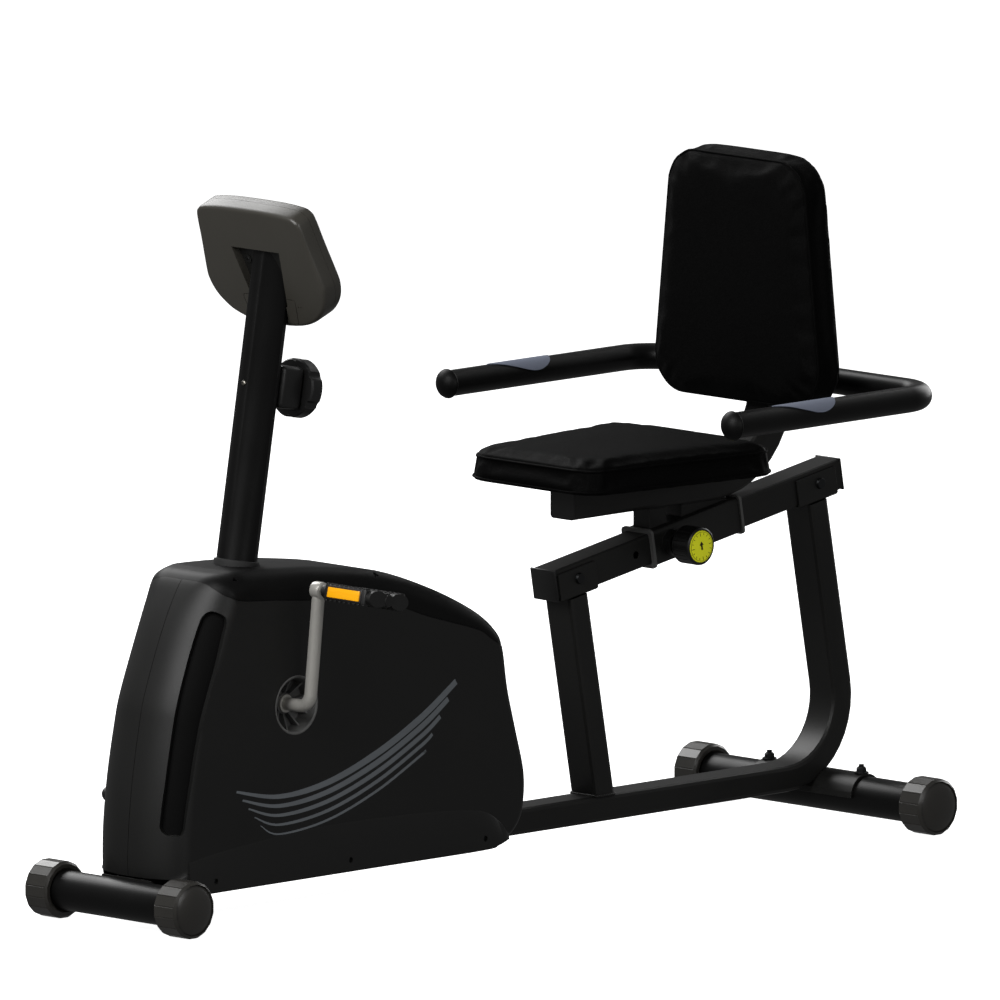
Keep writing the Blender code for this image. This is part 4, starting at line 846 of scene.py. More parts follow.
def walled(bm):
    """An open skin given its wall, inward."""
    obj = as_object(bm, "skin")
    bm.free()
    wall = obj.modifiers.new("wall", "SOLIDIFY")
    wall.thickness = SHELL_WALL
    wall.offset = -1
    wall.use_even_offset = True
    return evaluated(obj)


def corner_slot(grow, out, depth):
    """The body of the corner slot: a long sheet laid on the housing's front corner, then made thick."""
    rows, columns = 34, 9
    nose_top, nose_back = 0.47, 0.13
    path = shell_path()
    nose = [i for i in range(len(path)) if path[i][1] <= nose_top and path[i][0] < nose_back]
    heights = [path[i][1] for i in nose]
    low, high = SLOT_ENDS[0] - grow, SLOT_ENDS[1] + grow

    def middle_and_half(height):
        height = min(max(height, CORNER_SLOT[0][0]), CORNER_SLOT[-1][0])
        above = next(i for i in range(1, len(CORNER_SLOT)) if CORNER_SLOT[i][0] >= height)
        (z0, a0, h0), (z1, a1, h1) = CORNER_SLOT[above - 1], CORNER_SLOT[above]
        share = (height - z0) / (z1 - z0)
        return math.radians(a0 + (a1 - a0) * share), h0 + (h1 - h0) * share + grow

    def on_corner(height, turn):
        after = next((k for k in range(1, len(heights)) if heights[k] >= height), len(heights) - 1)
        share = (height - heights[after - 1]) / (heights[after] - heights[after - 1])
        first = shell_point(path, nose[after - 1], turn)
        return first.lerp(shell_point(path, nose[after], turn), share)

    def place_of(column, row):
        share = row / (rows - 1)
        height = low + (high - low) * (1 - math.cos(HALF_TURN * share)) / 2
        from_end = min(height - low, high - height)
        middle, width = middle_and_half(height)
        if from_end < SLOT_END_RADIUS:
            along = SLOT_END_RADIUS - from_end
            width -= SLOT_END_RADIUS - math.sqrt(max(SLOT_END_RADIUS**2 - along**2, 0.0000005))
        swing = width / CORNER_REACH * (2 * column / (columns - 1) - 1)
        spot = on_corner(height, middle + swing)
        proud = Vector((-CORNER_SPREAD * math.cos(middle), CORNER_DEPTH * math.sin(middle), 0)).normalized()
        return spot + proud * out

    return thickened(facing(mapped(columns, rows, place_of), Vector((-1, 0, 0))), depth)


def cover_zone(shift):
    """All that lies above the cover's edge."""
    edge = [(x - CENTRE_X, -z - shift) for x, z in smoothed(COVER_EDGE, 4)]
    loop = edge + [(0.83 - CENTRE_X, -0.7), (0.05 - CENTRE_X, -0.7), (0.05 - CENTRE_X, -0.58)]
    return prism(loop, 0.4, TO_RIGHT)


def skirt_band():
    """The flared band along the foot of the shell: flush at its curved top, 4.5 mm proud at the bottom."""
    top, foot = smoothed(SKIRT_TOP, 4), smoothed(SKIRT_FOOT, 8)
    count = len(top)

    def place_of(column, row):
        x, z = top[row]
        share = row / (count - 1) * (len(foot) - 1)
        start = foot[min(int(share), len(foot) - 2)]
        end = foot[min(int(share) + 1, len(foot) - 1)]
        low = start.lerp(end, share - int(share)) if int(share) < len(foot) - 1 else foot[-1]
        down, proud = ((0, 0.0001), (0.04, 0.0008), (1, 0.0045))[column]
        return Vector((
            x * (1 - down) + low.x * down - CENTRE_X, SHELL_HALF + proud, z * (1 - down) + low.y * down
        ))

    bm = mapped(3, count, place_of)
    made = bmesh.ops.extrude_face_region(bm, geom=bm.faces[:])["geom"]
    for vert in made:
        if isinstance(vert, bmesh.types.BMVert):
            vert.co.y = SHELL_HALF - 0.0012
    return settled(bm)


def crank_dish():
    """The moulded dish round the crank: a raised lip, a conical floor and fins that brace the hub ring."""
    face, floor = SHELL_HALF, 0.053
    profile = [
        (0.0402, face + 0.0002), (0.0414, face + 0.0006), (0.0426, face + 0.0002), (0.0426, face - 0.0008),
        (0.0412, face - 0.0008), (0.0405, floor - 0.002), (0.0115, floor - 0.005), (0.0115, floor + 0.008),
        (0.0150, floor + 0.008), (0.0155, floor - 0.001), (0.0370, floor + 0.003), (0.0388, face - 0.001),
    ]
    shapes = [lathe(profile, 72, closed=True)]
    under = floor - 0.002
    fin = [(0.0145, under), (0.0378, under), (0.0384, floor + 0.0185), (0.0145, floor + 0.0065)]
    shapes += [prism(fin, 0.0024, turn @ TO_LEFT) for turn in spaced(10, 0.2)]
    return joined(*shapes)


def shell_halves():
    """Both shells as if on the right side: hollow, cut for crank, beam and stabiliser, with their skirts."""
    plain = walled(shell_skin())
    bowl = corner_slot(0.0022, -0.0012, 0.0105)
    slot = corner_slot(0.0, 0.012, 0.021)
    slotted = carved(copied(plain), ("UNION", bowl), ("DIFFERENCE", slot))
    stabiliser = rod(0.0331, 0.6, at(0, 0, STABILISER_Z) @ TO_RIGHT, 64)
    wells = [rod(0.0042, 0.009, at(x, SHELL_HALF + 0.004, z) @ TO_RIGHT, 32) for x, z in SKIRT_SCREWS]
    skirt = carved(skirt_band(), ("DIFFERENCE", joined(*wells)), ("DIFFERENCE", stabiliser))
    crank_way = rod(0.0405, 0.02, at(CRANK_X, SHELL_HALF, CRANK_Z) @ TO_RIGHT, 72)
    beam_way = block((2.0, 0.055, 0.2), 0, at(1.030, 0, -0.0155))
    under_nose = block((0.10, 0.24, 0.10), 0, at(0.0, 0, 0.021))
    seam = block((2, 0.0008, 2))
    cuts = [("DIFFERENCE", cut) for cut in (cover_zone(0), crank_way, beam_way, under_nose, stabiliser, seam)]
    shapes = {"left": slotted, "right": plain}
    return {side: joined(carved(shape, *cuts), copied(skirt)) for side, shape in shapes.items()}


def housing():
    shells = shell_halves()
    for side, sign in SIDES.items():
        half = copied(shells[side], Matrix.Scale(sign, 4, (0, 1, 0)))
        finished(half, f"housing_shell_{side}", SHELL_ABS, "frame", [f"housing_{side}"], 32)
        dish = settled(crank_dish(), at(CRANK_X, 0, CRANK_Z) @ OUTWARD[sign])
        finished(dish, f"crank_dish_{side}", BUSH_NYLON, "frame", sharp=35)
        spots = [at(x, sign * (SHELL_HALF - 0.0004), z) @ OUTWARD[sign] for x, z in SKIRT_SCREWS]
        screws = joined(*[screw_head(0.0034, 0.0018, spot) for spot in spots])
        finished(screws, f"skirt_screws_{side}", ZINC, "frame")
    # A thin dark sheet laid on the slot's floor: painted shade in the recess.
    painted_shade_sheet = copied(corner_slot(-0.0003, -0.0085, 0.0008), Matrix.Scale(-1, 4, (0, 1, 0)))
    finished(painted_shade_sheet, "slot_floor_painted_shade", SLOT_SHADE_ABS, "frame", sharp=60)


def housing_cover():
    """The cover: the upper part of the whole housing, a hair narrower, with a way for the post."""
    whole = shell_skin()
    bmesh.ops.mirror(
        whole, geom=whole.verts[:] + whole.edges[:] + whole.faces[:], axis="Y", merge_dist=TOUCHING
    )
    bmesh.ops.recalc_face_normals(whole, faces=whole.faces)
    if max(whole.faces, key=lambda f: f.normal.z * f.calc_area()).normal.z < 0:
        bmesh.ops.reverse_faces(whole, faces=whole.faces)
    wells = [rod(0.0045, 0.05, at(x, y, z), 32) for x, z in COVER_SCREWS for y in (-0.0735, 0.0735)]
    cover = carved(
        walled(whole), ("INTERSECT", cover_zone(0.0007)),
        ("DIFFERENCE", rod(POST_RADIUS + 0.0012, 2.0, POST, 72)), ("DIFFERENCE", joined(*wells)),
    )
    bmesh.ops.scale(cover, vec=(1, 0.994, 1), verts=cover.verts)
    finished(cover, "housing_cover", COVER_ABS, "frame", ["housing_top_cover"], 32)


def post_collar():
    """A soft grommet where the post comes out of the cover."""
    section = ((0.0002, 0.004), (0.0030, 0.0035), (0.0036, 0.0), (0.0030, -0.008), (0.0002, -0.008))
    profile = [(POST_RADIUS + proud, z) for proud, z in section]
    grommet = lathe(profile, 64, POST @ moved(0, 0, -0.1075), closed=True)
    finished(grommet, "post_grommet", BELT_RUBBER, "frame", sharp=40)


def stripes():
    """Printed stripes along each side: five plain arcs that rise to the rear, each thinner than the last."""
    for side, sign in SIDES.items():
        shapes = []
        for index in range(5):
            drop = index * 0.0135
            width = 0.0105 - index * 0.0016
            start = (0.150 + index * 0.012, 0.186 - drop)
            finish = (0.590 - index * 0.016, 0.296 - index * 0.0235)
            middle = ((0.235, 0.170), (0.330, 0.179), (0.430, 0.210), (0.520, 0.252))
            line = smoothed((start, *[(x, z - drop) for x, z in middle], finish), 10)
            lower, upper = [], []
            for i, spot in enumerate(line):
                before, after = line[max(i - 1, 0)], line[min(i + 1, len(line) - 1)]
                along = (after - before).normalized()
                share = i / (len(line) - 1)
                half = width * (0.16 + 0.84 * math.sin(HALF_TURN * min(share * 0.62 + 0.06, 1))) / 2
                up = Vector((-along.y, along.x)) * half
                upper.append(spot + up)
                lower.append(spot - up)
            outline = [(p.x - CENTRE_X, -p.y) for p in upper + lower[::-1]]
            spot = moved(0, sign * (SHELL_HALF + 0.00006), 0) @ TO_RIGHT
            shapes.append(prism(outline, 0.00012, spot))
        finished(joined(*shapes), f"printed_stripes_{side}", SILVER_INK, "frame")


# ---- Console, post and tension control -------------------------------------------------------------


def console_outline():
    """The console's outline, y and z, from the middle of its top edge round its right side."""
    half = [
        (0.050, 0.0022), (0.0860, -0.0010), (0.0975, -0.0060), (0.1040, -0.0160), (0.1090, -0.0530),
        (0.1145, -0.0880), (0.1170, -0.1050), (0.1175, -0.1180), (0.1125, -0.1360), (0.1010, -0.1530),
        (0.0800, -0.1695), (0.0470, -0.1800),
    ]
    other = [(-y, z) for y, z in reversed(half)]
    return smoothed([(0, 0.0030)] + half + [(0, -0.183)] + other, 4, closed=True)


def console_half(depth, rim, fillet, out):
    """One console shell: a rim wall and a face with a soft fillet. Out is the way the face points along x."""
    bm = bmesh.new()
    face = bm.faces.new([bm.verts.new((rim, y, z)) for y, z in console_outline()])
    made = bmesh.ops.extrude_face_region(bm, geom=[face], use_keep_orig=True)["geom"]
    top = next(f for f in made if isinstance(f, bmesh.types.BMFace))
    bmesh.ops.translate(bm, vec=(out * (depth - fillet), 0, 0), verts=top.verts)
    bmesh.ops.recalc_face_normals(bm, faces=bm.faces)
    steps = 5
    for step in range(steps):
        a, b = (QUARTER_TURN * (step + k) / steps for k in (0, 1))
        inset = fillet * (math.cos(a) - math.cos(b))
        rise = fillet * (math.sin(b) - math.sin(a))
        bmesh.ops.inset_region(bm, faces=[top], thickness=inset, depth=rise, use_even_offset=True)
    bmesh.ops.remove_doubles(bm, verts=bm.verts, dist=0.00001)
    bmesh.ops.recalc_face_normals(bm, faces=bm.faces)
    return bm


def console():
    back = console_half(CONSOLE_SPLIT - 0.0004, CONSOLE_SPLIT - 0.0004, 0.006, -1)
    pocket = prism(tapered(0.048, -0.0610, 0.033, -0.150), 0.028, ACROSS)
    way = carved(
        rod(POST_RADIUS + 0.0016, 0.5, CONSOLE.inverted() @ POST @ moved(0, 0, 0.10), 64),
        ("INTERSECT", block((0.028, 0.2, 0.4), 0, moved(0, 0, -0.15))),
    )
    door = prism(rounded(tapered(0.052, -0.137, 0.046, -0.1752), 0.004, 4), 0.0016, ACROSS)
    around_door = prism(rounded(tapered(0.053, -0.136, 0.047, -0.1762), 0.005, 4), 0.0024, ACROSS)
    door_line = carved(around_door, ("DIFFERENCE", door))
    holes = joined(*[rod(0.0012, 0.01, moved(0, y, -0.147) @ TO_REAR, 16) for y in (-0.0560, -0.0610)])
    back = carved(back, *[("DIFFERENCE", cut) for cut in (pocket, way, door_line, holes)])
    back = settled(back, CONSOLE)
    finished(back, "console_back_shell", CONSOLE_ABS, "frame", ["console_back"], 24)
    plate = prism(tapered(0.0475, -0.0605, 0.0330, -0.1495), 0.002, ACROSS)
    lip = washer(0.0035, 0.0068, 0.001, -0.001, moved(-0.0016, 0.033, -0.084) @ TO_REAR)
    boss = screw_head(0.0034, 0.0018, moved(-0.001, 0.033, -0.084) @ TO_FRONT)
    bracket = settled(joined(plate, lip, boss), CONSOLE @ moved(0.0128, 0, 0))
    finished(bracket, "console_mounting_plate", POWDER_COAT, "frame", bevel=0.0003)


def console_front():
    """The front shell with a bezel let into it, a window with its segments, and three buttons."""
    local = moved(CONSOLE_DEPTH, 0, 0) @ ACROSS
    bed = prism(rounded(tapered(0.0825, -0.0170, 0.1010, -0.1210), 0.012, 8), 0.0024, local)
    buttons = {"mode": -0.035, "set": 0.0, "reset": 0.035}
    spots = {name: moved(CONSOLE_DEPTH, y, -0.137) @ TO_REAR for name, y in buttons.items()}
    ways = joined(*[rod(0.0080, 0.022, spot, 40) for spot in spots.values()])
    well = prism(rounded(tapered(0.0555, -0.0345, 0.0555, -0.0975), 0.003, 4), 0.014, local)
    front = carved(
        console_half(CONSOLE_DEPTH - CONSOLE_SPLIT, CONSOLE_SPLIT, 0.005, 1),
        *[("DIFFERENCE", cut) for cut in (bed, well, ways)],
    )
    finished(
        settled(front, CONSOLE), "console_front_shell", CONSOLE_ABS, "frame",
        ["console_front"], 24,
    )
    inlay = rounded(tapered(0.0820, -0.0175, 0.1004, -0.1205), 0.0115, 8)
    inlay = prism(inlay, 0.0012, moved(-0.0005) @ local)
    window = prism(rounded(tapered(0.053, -0.036, 0.053, -0.096), 0.002, 4), 0.02, local)
    bezel = settled(carved(inlay, ("DIFFERENCE", window)), CONSOLE)
    finished(bezel, "console_bezel", BEZEL_GLOSS, "frame", bevel=0.0003)
    glass = block((0.0016, 0.1056, 0.0596), 0.0003, CONSOLE_FACE @ moved(-0.0012, 0, -0.066))
    finished(glass, "console_window", LCD_GLASS, "frame", ["console_lens"])
    # A row of short bars, a row of digits' upper and lower bars, and a row of short bars.
    bars = []
    for z, count, width, shorter, levels in (
        (-0.0435, 5, 0.0165, 0, (0,)), (-0.0655, 4, 0.0215, 0.004, (-0.0060, 0.0060)),
        (-0.0885, 5, 0.0165, 0, (0,)),
    ):
        for index in range(count):
            y = (index - (count - 1) / 2) * (width + 0.0030)
            for level in levels:
                size = (0.00025, width - shorter, 0.0016)
                bars.append(block(size, 0, CONSOLE_FACE @ moved(-0.0003, y, z + level)))
    finished(joined(*bars), "console_segments", LCD_INK, "frame")
    profile = [
        (0, 0.0018), (0.0045, 0.0017), (0.0062, 0.0013), (0.0072, 0.0006), (0.0075, -0.0004),
        (0.0075, -0.008), (0, -0.008),
    ]
    for name, spot in spots.items():
        rim = washer(0.0028, 0.0034, 0.0021, 0.0010, steps=32)
        button = settled(joined(lathe(profile, 48), rim), CONSOLE @ spot)
        finished(
            button, f"{name}_button_cap", KNOB_ABS, f"{name}_button", [f"button_{name}"], 30
        )


def tension_control():
    """The block clamped behind the post, its fluted knob and a ring of raised marks that grow round it."""
    place = POST @ moved(0, 0, TENSION_STATION)
    body = block((0.044, 0.050, 0.061), 0.007, moved(0.0440, 0, 0), 4)
    body = settled(carved(body, ("DIFFERENCE", rod(POST_RADIUS + 0.0004, 0.2, None, 64))), place)
    finished(body, "tension_housing", KNOB_ABS, "frame", ["tension_block"], 30, 0.0006)
    axis = place @ TO_REAR
    radius = 0.0425
    profile = [
        (0, 0.0895), (0.012, 0.0898), (0.030, 0.0905), (0.036, 0.0910), (0.0402, 0.0895), (radius, 0.0862),
        (radius, 0.0692), (radius - 0.002, 0.067), (0.005, 0.067), (0.005, 0.036), (0, 0.036),
    ]
    flutes = [rod(0.0075, 0.04, turn @ moved(radius + 0.0030, 0, 0.079)) for turn in spaced(6)]
    knob = settled(carved(lathe(profile, 72), ("DIFFERENCE", joined(*flutes))), axis)
    finished(knob, "tension_grip", KNOB_ABS, "tension_knob", ["tension_knob"], 30, 0.0008)
    marks = []
    for index in range(8):
        swing = turned(math.radians(150 - index * 34))
        size = (0.0025 + 0.0011 * index, 0.0016, 0.0007)
        marks.append(block(size, 0.0002, axis @ swing @ moved(0.030, 0, 0.0908)))
    finished(joined(*marks), "tension_marks", SILVER_INK, "tension_knob")
    screw = screw_head(0.0038, 0.0022, place @ moved(-POST_RADIUS + 0.0002, 0, 0) @ TO_FRONT)
    finished(screw, "tension_housing_screw", STEEL, "frame")


# ---- Crank and pedals ------------------------------------------------------------------------------


def crank():
    """One bent bar with an eye and a domed tip at each end, two collars, and the pedals' spindles."""
    shoulder, past_eye = 0.1115, CRANK_ARM + 0.006
    splay = shoulder + 0.0185 * past_eye / CRANK_ARM
    corners = [(0, splay, -past_eye), (0, shoulder, 0), (0, -shoulder, 0), (0, -splay, past_eye)]
    shapes = [tube(rounded(corners, 0.022, 14, closed=False), CRANK_BAR, 8)]
    half_eye = [(0, 0.0092), (0.0095, 0.0092), (0.0118, 0.0078), (0.0124, 0.0055)]
    eye = half_eye + [(r, -z) for r, z in reversed(half_eye)]
    dome = [(0, 0.0052), (0.0045, 0.0045), (0.0078, 0.0026), (0.0093, 0), (0, -0.004)]
    for sign in SIDES.values():
        shapes.append(lathe(eye, 48, moved(0, sign * 0.1303, -sign * CRANK_ARM) @ TO_RIGHT))
        tip = moved(0, sign * splay, -sign * past_eye)
        shapes.append(lathe(dome, 32, tip @ Matrix.Rotation(HALF_TURN, 4, "X") if sign > 0 else tip))
    for sign in SIDES.values():
        shapes.append(washer(0.0094, 0.0128, 0.0015, -0.0015, moved(0, sign * 0.0632, 0) @ TO_RIGHT))
    bar = settled(joined(*shapes), at(CRANK_X, 0, CRANK_Z))
    finished(bar, "crank_bar", CRANK_PLATE, "crank", ["crank"], 35)
    spindle = [
        (0, 0.1412), (0.0075, 0.1412), (0.0090, 0.1424), (0.0090, 0.170), (0.0082, 0.171), (0.0055, 0.1725),
        (0.0055, 0.2650), (0, 0.2655),
    ]
    for side, sign in SIDES.items():
        shape = lathe(spindle, 32, at(CRANK_X, 0, CRANK_Z - sign * CRANK_ARM) @ OUTWARD[sign])
        finished(shape, f"pedal_spindle_bar_{side}", STEEL, "crank", [f"pedal_spindle_{side}"])


def pedal(side):
    """A cage pedal: two toothed treads, an inner and an outer end, and a barrel that turns on the spindle."""
    sign, body = SIDES[side], f"{side}_pedal"
    length, width, height = 0.082, 0.098, 0.026
    ends = (-1, 1)
    shapes = []
    for end in ends:
        x = end * (length / 2 - 0.0055)
        shapes.append(block((0.011, width - 0.016, height - 0.003), 0.0022, moved(x, 0, 0), 3))
        for face in ends:
            for index in range(9):
                spot = moved(x, (index - 4) * 0.0092, face * (height / 2 - 0.0016))
                shapes.append(block((0.010, 0.0052, 0.003), 0.0009, spot))
    for end in ends:
        y = end * (width / 2 - 0.0055)
        for part in ends:
            lobe = [(x * 0.0182 + part * 0.0215, z * 0.0118) for x, z in arc(1, 0, 360, 28)[:-1]]
            shapes.append(prism(lobe, 0.011, moved(0, y, 0) @ TO_LEFT))
        shapes.append(block((0.050, 0.009, 0.016), 0.002, moved(0, y, 0), 3))
    half_barrel = [(0.0062, 0.046), (0.0100, 0.046), (0.0106, 0.044)]
    barrel = half_barrel + [(r, -y) for r, y in reversed(half_barrel)]
    shapes.append(lathe(barrel, 40, TO_RIGHT, closed=True))
    for y in (-0.021, 0.021):
        for end in ends:
            shapes.append(block((0.0262, 0.0042, 0.013), 0.0008, moved(end * 0.0228, y, 0)))
    place = at(CRANK_X, sign * 0.222, CRANK_Z - sign * CRANK_ARM) @ Matrix.Rotation(PEDAL_TILT, 4, "Y")
    cage = settled(joined(*shapes), place)
    finished(cage, f"pedal_cage_{side}", PEDAL_PP, body, [f"pedal_{side}"], 32)
    cap = [(0, 0.0012), (0.0075, 0.0008), (0.0085, -0.0004), (0.0085, -0.0030), (0, -0.0030)]
    dust_cap = lathe(cap, 36, place @ moved(0, sign * width / 2, 0) @ OUTWARD[sign])
    finished(dust_cap, f"pedal_dust_cap_{side}", KNOB_ABS, body)
    holder = block((0.0022, 0.068, 0.0195), 0.0008, place @ moved(-length / 2 - 0.0002, 0, 0))
    finished(holder, f"reflector_frame_{side}", PEDAL_PP, body)
    lens = block((0.0024, 0.063, 0.0145), 0.0006, place @ moved(-length / 2 - 0.0020, 0, 0))
    stands_for = [f"pedal_reflector_{side}"]
    finished(lens, f"reflector_lens_{side}", REFLECTOR_PAINTED_GLOW, body, stands_for)


# ---- Seat carriage ---------------------------------------------------------------------------------


def carriage():
    """The slider with its two bushes and its welds, and the seat beam."""
    faired("slider_sleeve", POWDER_COAT, 0.0008, 35)
    faired("seat_beam", POWDER_COAT, 0.0010, 25)
    outer = rounded(tapered(0.0305, -0.0290, 0.0305, 0.0290), 0.0065, 8)
    inner = rounded(tapered(0.0243, -0.0228, 0.0243, 0.0228), 0.004, 6)
    for end, station in (("front", 0.1412), ("rear", 0.3228)):
        place = RAIL @ moved(station, 0, 0) @ ACROSS
        ring = carved(prism(outer, 0.0048, place), ("DIFFERENCE", prism(inner, 0.02, place)))
        finished(
            ring, f"slide_bush_{end}", BUSH_NYLON, "carriage", [f"slider_bush_{end}"], 40,
            0.0011, 3,
        )
    stands = [bead(front, rear, 0.0167, 0.4878, 0.0017) for front, rear in ((1.050, 1.083), (1.115, 1.205))]
    finished(joined(*stands), "seat_stand_welds", POWDER_COAT, "carriage", sharp=60)
    foot = bead(0.9320, 0.9710, 0.0268, 0.0845, 0.0020)
    finished(foot, "front_upright_weld", POWDER_COAT, "frame", sharp=60)


def bead(front, rear, half, height, radius):
    """A rippled bead of weld round the foot of a tube."""
    ends = ((front, -half), (rear, -half), (rear, half), (front, half))
    path = rounded([(x - CENTRE_X, y, height) for x, y in ends], 0.004, 4)
    ripple_length = 0.0012
    even = []
    for a, b in zip(path, path[1:] + path[:1]):
        parts = max(1, round((b - a).length / ripple_length))
        even += [a.lerp(b, i / parts) for i in range(parts)]
    bm = tube(even, radius, 2, cyclic=True)
    for vert in bm.verts:
        near = min(range(len(even)), key=lambda i: (even[i] - vert.co).length_squared)
        swell = 1 + 0.12 * math.sin(near * 2.1)
        vert.co = even[near] + (vert.co - even[near]) * swell
    return bm


def lock_knob():
    """The seat lock's pull knob: a ribbed black grip, a yellow disc let into its face, and tick marks."""
    axis = RAIL @ moved(PIN_STATION, 0, 0) @ TO_LEFT
    face, radius, back, pin = 0.088, 0.0275, 0.053, 0.0046
    profile = [
        (0, face - 0.0016), (0.0232, face - 0.0016), (0.0236, face - 0.0004), (0.0250, face),
        (radius - 0.0004, face - 0.0016), (radius, face - 0.0035), (radius, back + 0.003),
        (radius - 0.002, back), (0.0138, back), (0.0138, back + 0.010), (pin, back + 0.010),
        (pin, 0.0250), (pin - 0.0004, 0.0246), (0, 0.0246),
    ]
    flutes = [rod(0.0014, 0.024, turn @ moved(radius + 0.0007, 0, back + 0.0165), 12) for turn in spaced(24)]
    grip = settled(carved(lathe(profile, 72), ("DIFFERENCE", joined(*flutes))), axis)
    finished(grip, "lock_grip", KNOB_ABS, "lock", ["lock_knob"], 30)
    # The knob's hollow back passes over this neck when the pin drops in.
    neck = [(0.0054, 0.0428), (0.012, 0.0428), (0.012, 0.0512), (0.0112, 0.052), (0.0054, 0.052)]
    finished(lathe(neck, 48, axis, closed=True), "lock_neck", POWDER_COAT, "carriage")
    disc = [(0, 0.0004), (0.0205, 0.0002), (0.0228, -0.0004), (0.0230, -0.0014), (0, -0.0014)]
    disc = lathe(disc, 64, axis @ moved(0, 0, face))
    finished(disc, "lock_disc", DISC_ABS_PAINTED_GLOW, "lock")
    print_place = axis @ moved(0, 0, face)
    prints = []
    for index, turn in enumerate(spaced(16)):
        reach = 0.0030 if index % 4 else 0.0048
        spot = print_place @ turn @ moved(0.0198 - reach / 2, 0, 0.0004)
        prints.append(block((reach, 0.0007, 0.0003), 0, spot))
    ring = [(0.0208, 0.0004), (0.0212, 0.0003), (0.0212, -0.0002), (0.0208, -0.0001)]
    prints.append(lathe(ring, 64, print_place, closed=True))
    shaft, head, neck_y, tip = 0.0016, 0.0040, 0.007, 0.0125
    arrow = [
        (-shaft, 0), (shaft, 0), (shaft, neck_y), (head, neck_y), (0, tip), (-head, neck_y), (-shaft, neck_y),
    ]
    prints.append(prism(arrow, 0.0003, print_place @ moved(0, -0.005, 0.0006)))
    finished(joined(*prints), "lock_disc_print", INK, "lock")


def handlebar():
    """The U-shaped bar, a flanged cap on each end, and the pulse contacts."""
    half, front, rear = HANDLEBAR_HALF, 0.945, 1.3587
    corners = [(front, -half, 0), (rear, -half, 0), (rear, half, 0), (front, half, 0)]
    bar = tube(rounded(corners, 0.058, 16, closed=False), HANDLEBAR_RADIUS, 12, at(0, 0, HANDLEBAR_Z))
    finished(bar, "handlebar_tube", TUBE_COAT, "carriage", ["handlebar"], 40)
    profile = [
        (0, 0.0140), (0.0060, 0.0134), (0.0115, 0.0115), (0.0162, 0.0085), (0.0195, 0.0050),
        (0.0213, 0.0015), (0.0215, 0.0004), (0.0205, -0.0012), (0.0192, -0.0018), (0.0160, -0.0018),
        (0.0160, -0.018), (0, -0.018),
    ]
    for side, sign in SIDES.items():
        cap = lathe(profile, 56, at(front, sign * half, HANDLEBAR_Z) @ TO_FRONT)
        finished(cap, f"bar_end_{side}", COVER_ABS, "carriage", [f"handlebar_cap_{side}"], 40)
        pulse_plate(side, sign)


def pulse_plate(side, sign):
    """A leaf of stainless steel wrapped over the bar: pointed in front, widest two thirds back."""
    start, finish = 1.025, 1.148
    leaf = ((0, 0.02), (0.18, 0.32), (0.42, 0.72), (0.64, 0.98), (0.80, 0.90), (0.93, 0.55), (1, 0.04))
    widths = smoothed(leaf, 8)
    wrap, reach = math.radians(78), HANDLEBAR_RADIUS + 0.0012
    rows, columns = 33, 17

    def place_of(column, row):
        share = row / (rows - 1)
        after = next(i for i in range(1, len(widths)) if widths[i].x >= share - 0.000001)
        a, b = widths[after - 1], widths[after]
        width = a.y + (b.y - a.y) * (share - a.x) / max(b.x - a.x, 0.000001)
        turn = wrap * width * (2 * column / (columns - 1) - 1)
        return Vector((
            start + (finish - start) * share - CENTRE_X, sign * HANDLEBAR_HALF + reach * math.sin(turn),
            HANDLEBAR_Z + reach * math.cos(turn),
        ))

    plate = thickened(facing(mapped(columns, rows, place_of), Vector((0, 0, 1))), 0.0009)
    finished(plate, f"pulse_contact_{side}", STAINLESS, "carriage", [f"pulse_plate_{side}"], 40)


# ---- Cushions --------------------------------------------------------------------------------------


CLOTH_STEPS = 20
PAD_VOXEL = 0.005
PAD_SWELL_CAP = 0.0065
PAD_HELD_DEPTH = 0.010
WELT_RADIUS = 0.0019


def trapezoid(low, high, low_half, high_half, radius, inset):
    """A rounded trapezoid from low to high along the first axis."""
    low, high, low_half, high_half = low + inset, high - inset, low_half - inset, high_half - inset
    corners = [(low, -low_half, 0), (high, -high_half, 0), (high, high_half, 0), (low, low_half, 0)]
    return rounded(corners, radius - inset, 10)


def evened(bm):
    bmesh.ops.smooth_vert(
        bm, verts=bm.verts, factor=0.5, use_axis_x=True, use_axis_y=True, use_axis_z=True
    )


def stuffed(bm, cap, held):
    """Blows a closed shape up a little with a short cloth simulation. Points that held() picks stay put."""
    obj = as_object(bm, "pad")
    bm.free()
    voxels = obj.modifiers.new("voxels", "REMESH")
    voxels.mode = "VOXEL"
    voxels.voxel_size = PAD_VOXEL
    even = evaluated(obj)
    evened(even)
    start = [v.co.copy() for v in even.verts]
    pad = as_object(even, "pad")
    even.free()
    pins = pad.vertex_groups.new(name="held")
    pins.add([i for i, spot in enumerate(start) if held(spot)], 1.0, "ADD")
    cloth = pad.modifiers.new("cloth", "CLOTH")
    cloth.settings.vertex_group_mass = "held"
    cloth.settings.use_pressure = True
    cloth.settings.uniform_pressure_force = 4.0
    cloth.settings.tension_stiffness = cloth.settings.compression_stiffness = 18.0
    cloth.settings.bending_stiffness = 1.2
    cloth.settings.effector_weights.gravity = 0.0
    cloth.collision_settings.use_collision = False
    cloth.point_cache.frame_start = 1
    cloth.point_cache.frame_end = CLOTH_STEPS
    scene = bpy.context.scene
    for step in range(1, CLOTH_STEPS + 1):
        scene.frame_set(step)
        bpy.context.view_layer.update()
    result = evaluated(pad)
    for vert, origin in zip(result.verts, start):
        travel = vert.co - origin
        if travel.length > cap:
            vert.co = origin + travel * (cap / travel.length)
    scene.frame_set(1)
    evened(result)
    return result


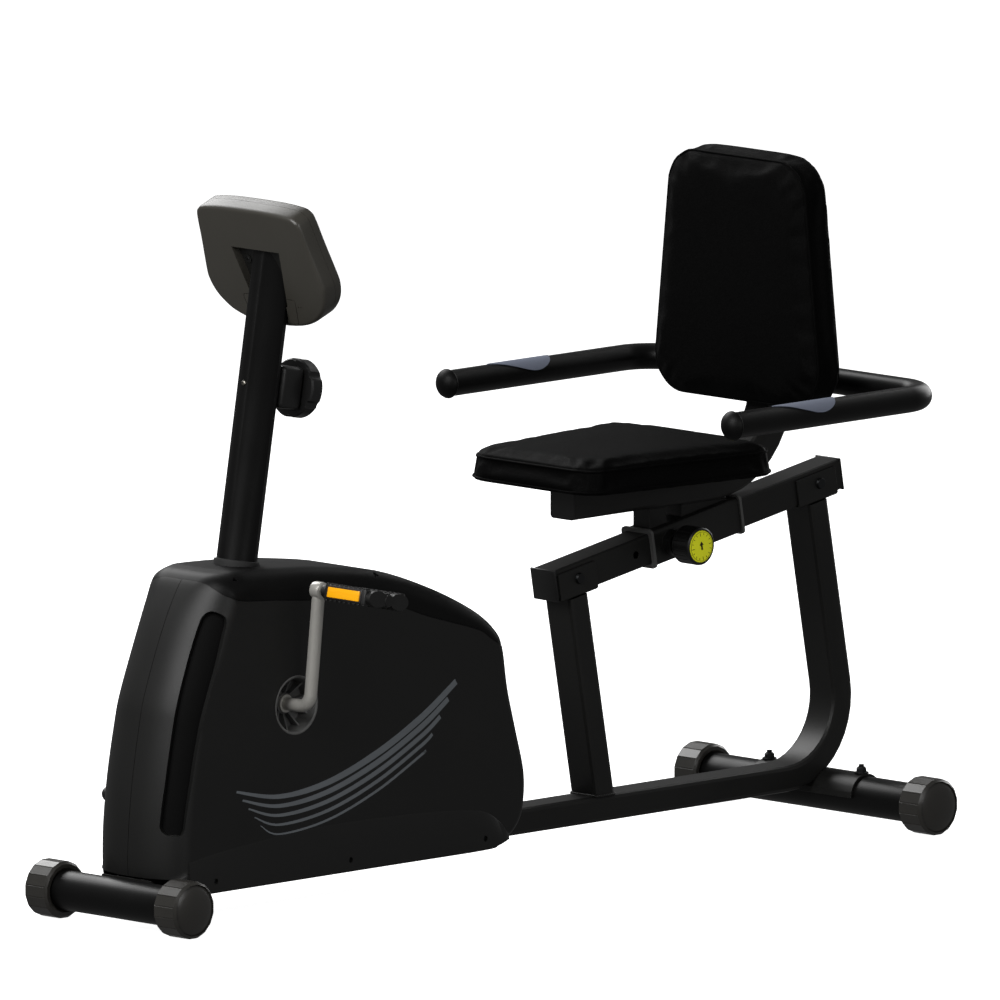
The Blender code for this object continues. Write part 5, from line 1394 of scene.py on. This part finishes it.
def piped(surface_bm, outline, height, radius):
    """A welted seam laid on a pad's side at one height."""
    tree = BVHTree.FromBMesh(surface_bm)
    spots = []
    for x, y, _ in outline:
        spot, normal, _, _ = tree.find_nearest(Vector((x, y, height)))
        spots.append(spot + normal * radius * 0.2)
    return tube(spots, radius, 4, cyclic=True)


def pad(name, material, outline_of, thickness, place, crown, swell):
    """A foam pad under sewn vinyl: crowned on top, flat on its board, with a welt round each edge."""
    outline, half = outline_of(0), thickness / 2
    shape = prism(outline_of(-swell), thickness - 0.004, moved(0, 0, -0.0005))
    puffed = stuffed(shape, PAD_SWELL_CAP, lambda spot: spot.z < PAD_HELD_DEPTH - half)
    middle = sum((Vector(p) for p in outline), Vector()) / len(outline)
    reach = max((Vector(p) - middle).length for p in outline)
    for vert in puffed.verts:
        if vert.co.z > 0:
            off = min((Vector((vert.co.x, vert.co.y, 0)) - middle).length / reach, 1)
            vert.co.z += crown * (1 - off * off) * min(vert.co.z / (half / 2), 1)
    welts = [piped(puffed, outline, z, WELT_RADIUS) for z in (half - 0.0085, 0.0065 - half)]
    body = settled(puffed, place)
    piece = finished(body, f"{name}_pad", VINYL, "carriage", [f"{name}_cushion"], 60, smooth=1)
    finished(settled(joined(*welts), place), f"{name}_welt", VINYL, "carriage", sharp=60)
    faired(f"{name}_board", material, 0.0012, 40)


def cushions():
    front, rear = (x - CENTRE_X for x in SEAT_X)
    thickness = SEAT_Z[1] - SEAT_Z[0]
    pad(
        "seat", PLYWOOD, lambda inset: trapezoid(front, rear, *SEAT_HALVES, 0.040, inset), thickness,
        moved(0, 0, sum(SEAT_Z) / 2), 0.004, 0.003,
    )
    thickness = BACKREST_X[1] - BACKREST_X[0]
    forward = Matrix(((0, 0, -1, 0), (0, 1, 0, 0), (1, 0, 0, 0), (0, 0, 0, 1)))
    pad(
        "backrest", KNOB_ABS, lambda inset: trapezoid(*BACKREST_Z, *BACKREST_HALVES, 0.055, inset),
        thickness, at(sum(BACKREST_X) / 2, 0, 0) @ forward, 0.003, 0.008,
    )


def inner_works():
    """Finishes for the working parts inside the housing, which keep their CAD shapes."""
    dress(POWDER_COAT, "mast", "crank_shell", "flywheel_bracket")
    dress(STEEL, "crank_bearing_left", "crank_bearing_right", "flywheel_shaft", "magnet_arm")
    dress(IRON, "flywheel")
    dress(BELT_RUBBER, "drive_belt")
    dress(KNOB_ABS, "crank_pulley")


camera()
studio()
frame_tubes()
for cap_end in CAP_FACES:
    for cap_side in SIDES:
        foot_cap(cap_end, cap_side)
saddle_bolts()
tube_plugs()
housing()
housing_cover()
post_collar()
stripes()
console()
console_front()
tension_control()
crank()
for pedal_side in SIDES:
    pedal(pedal_side)
carriage()
lock_knob()
handlebar()
cushions()
inner_works()
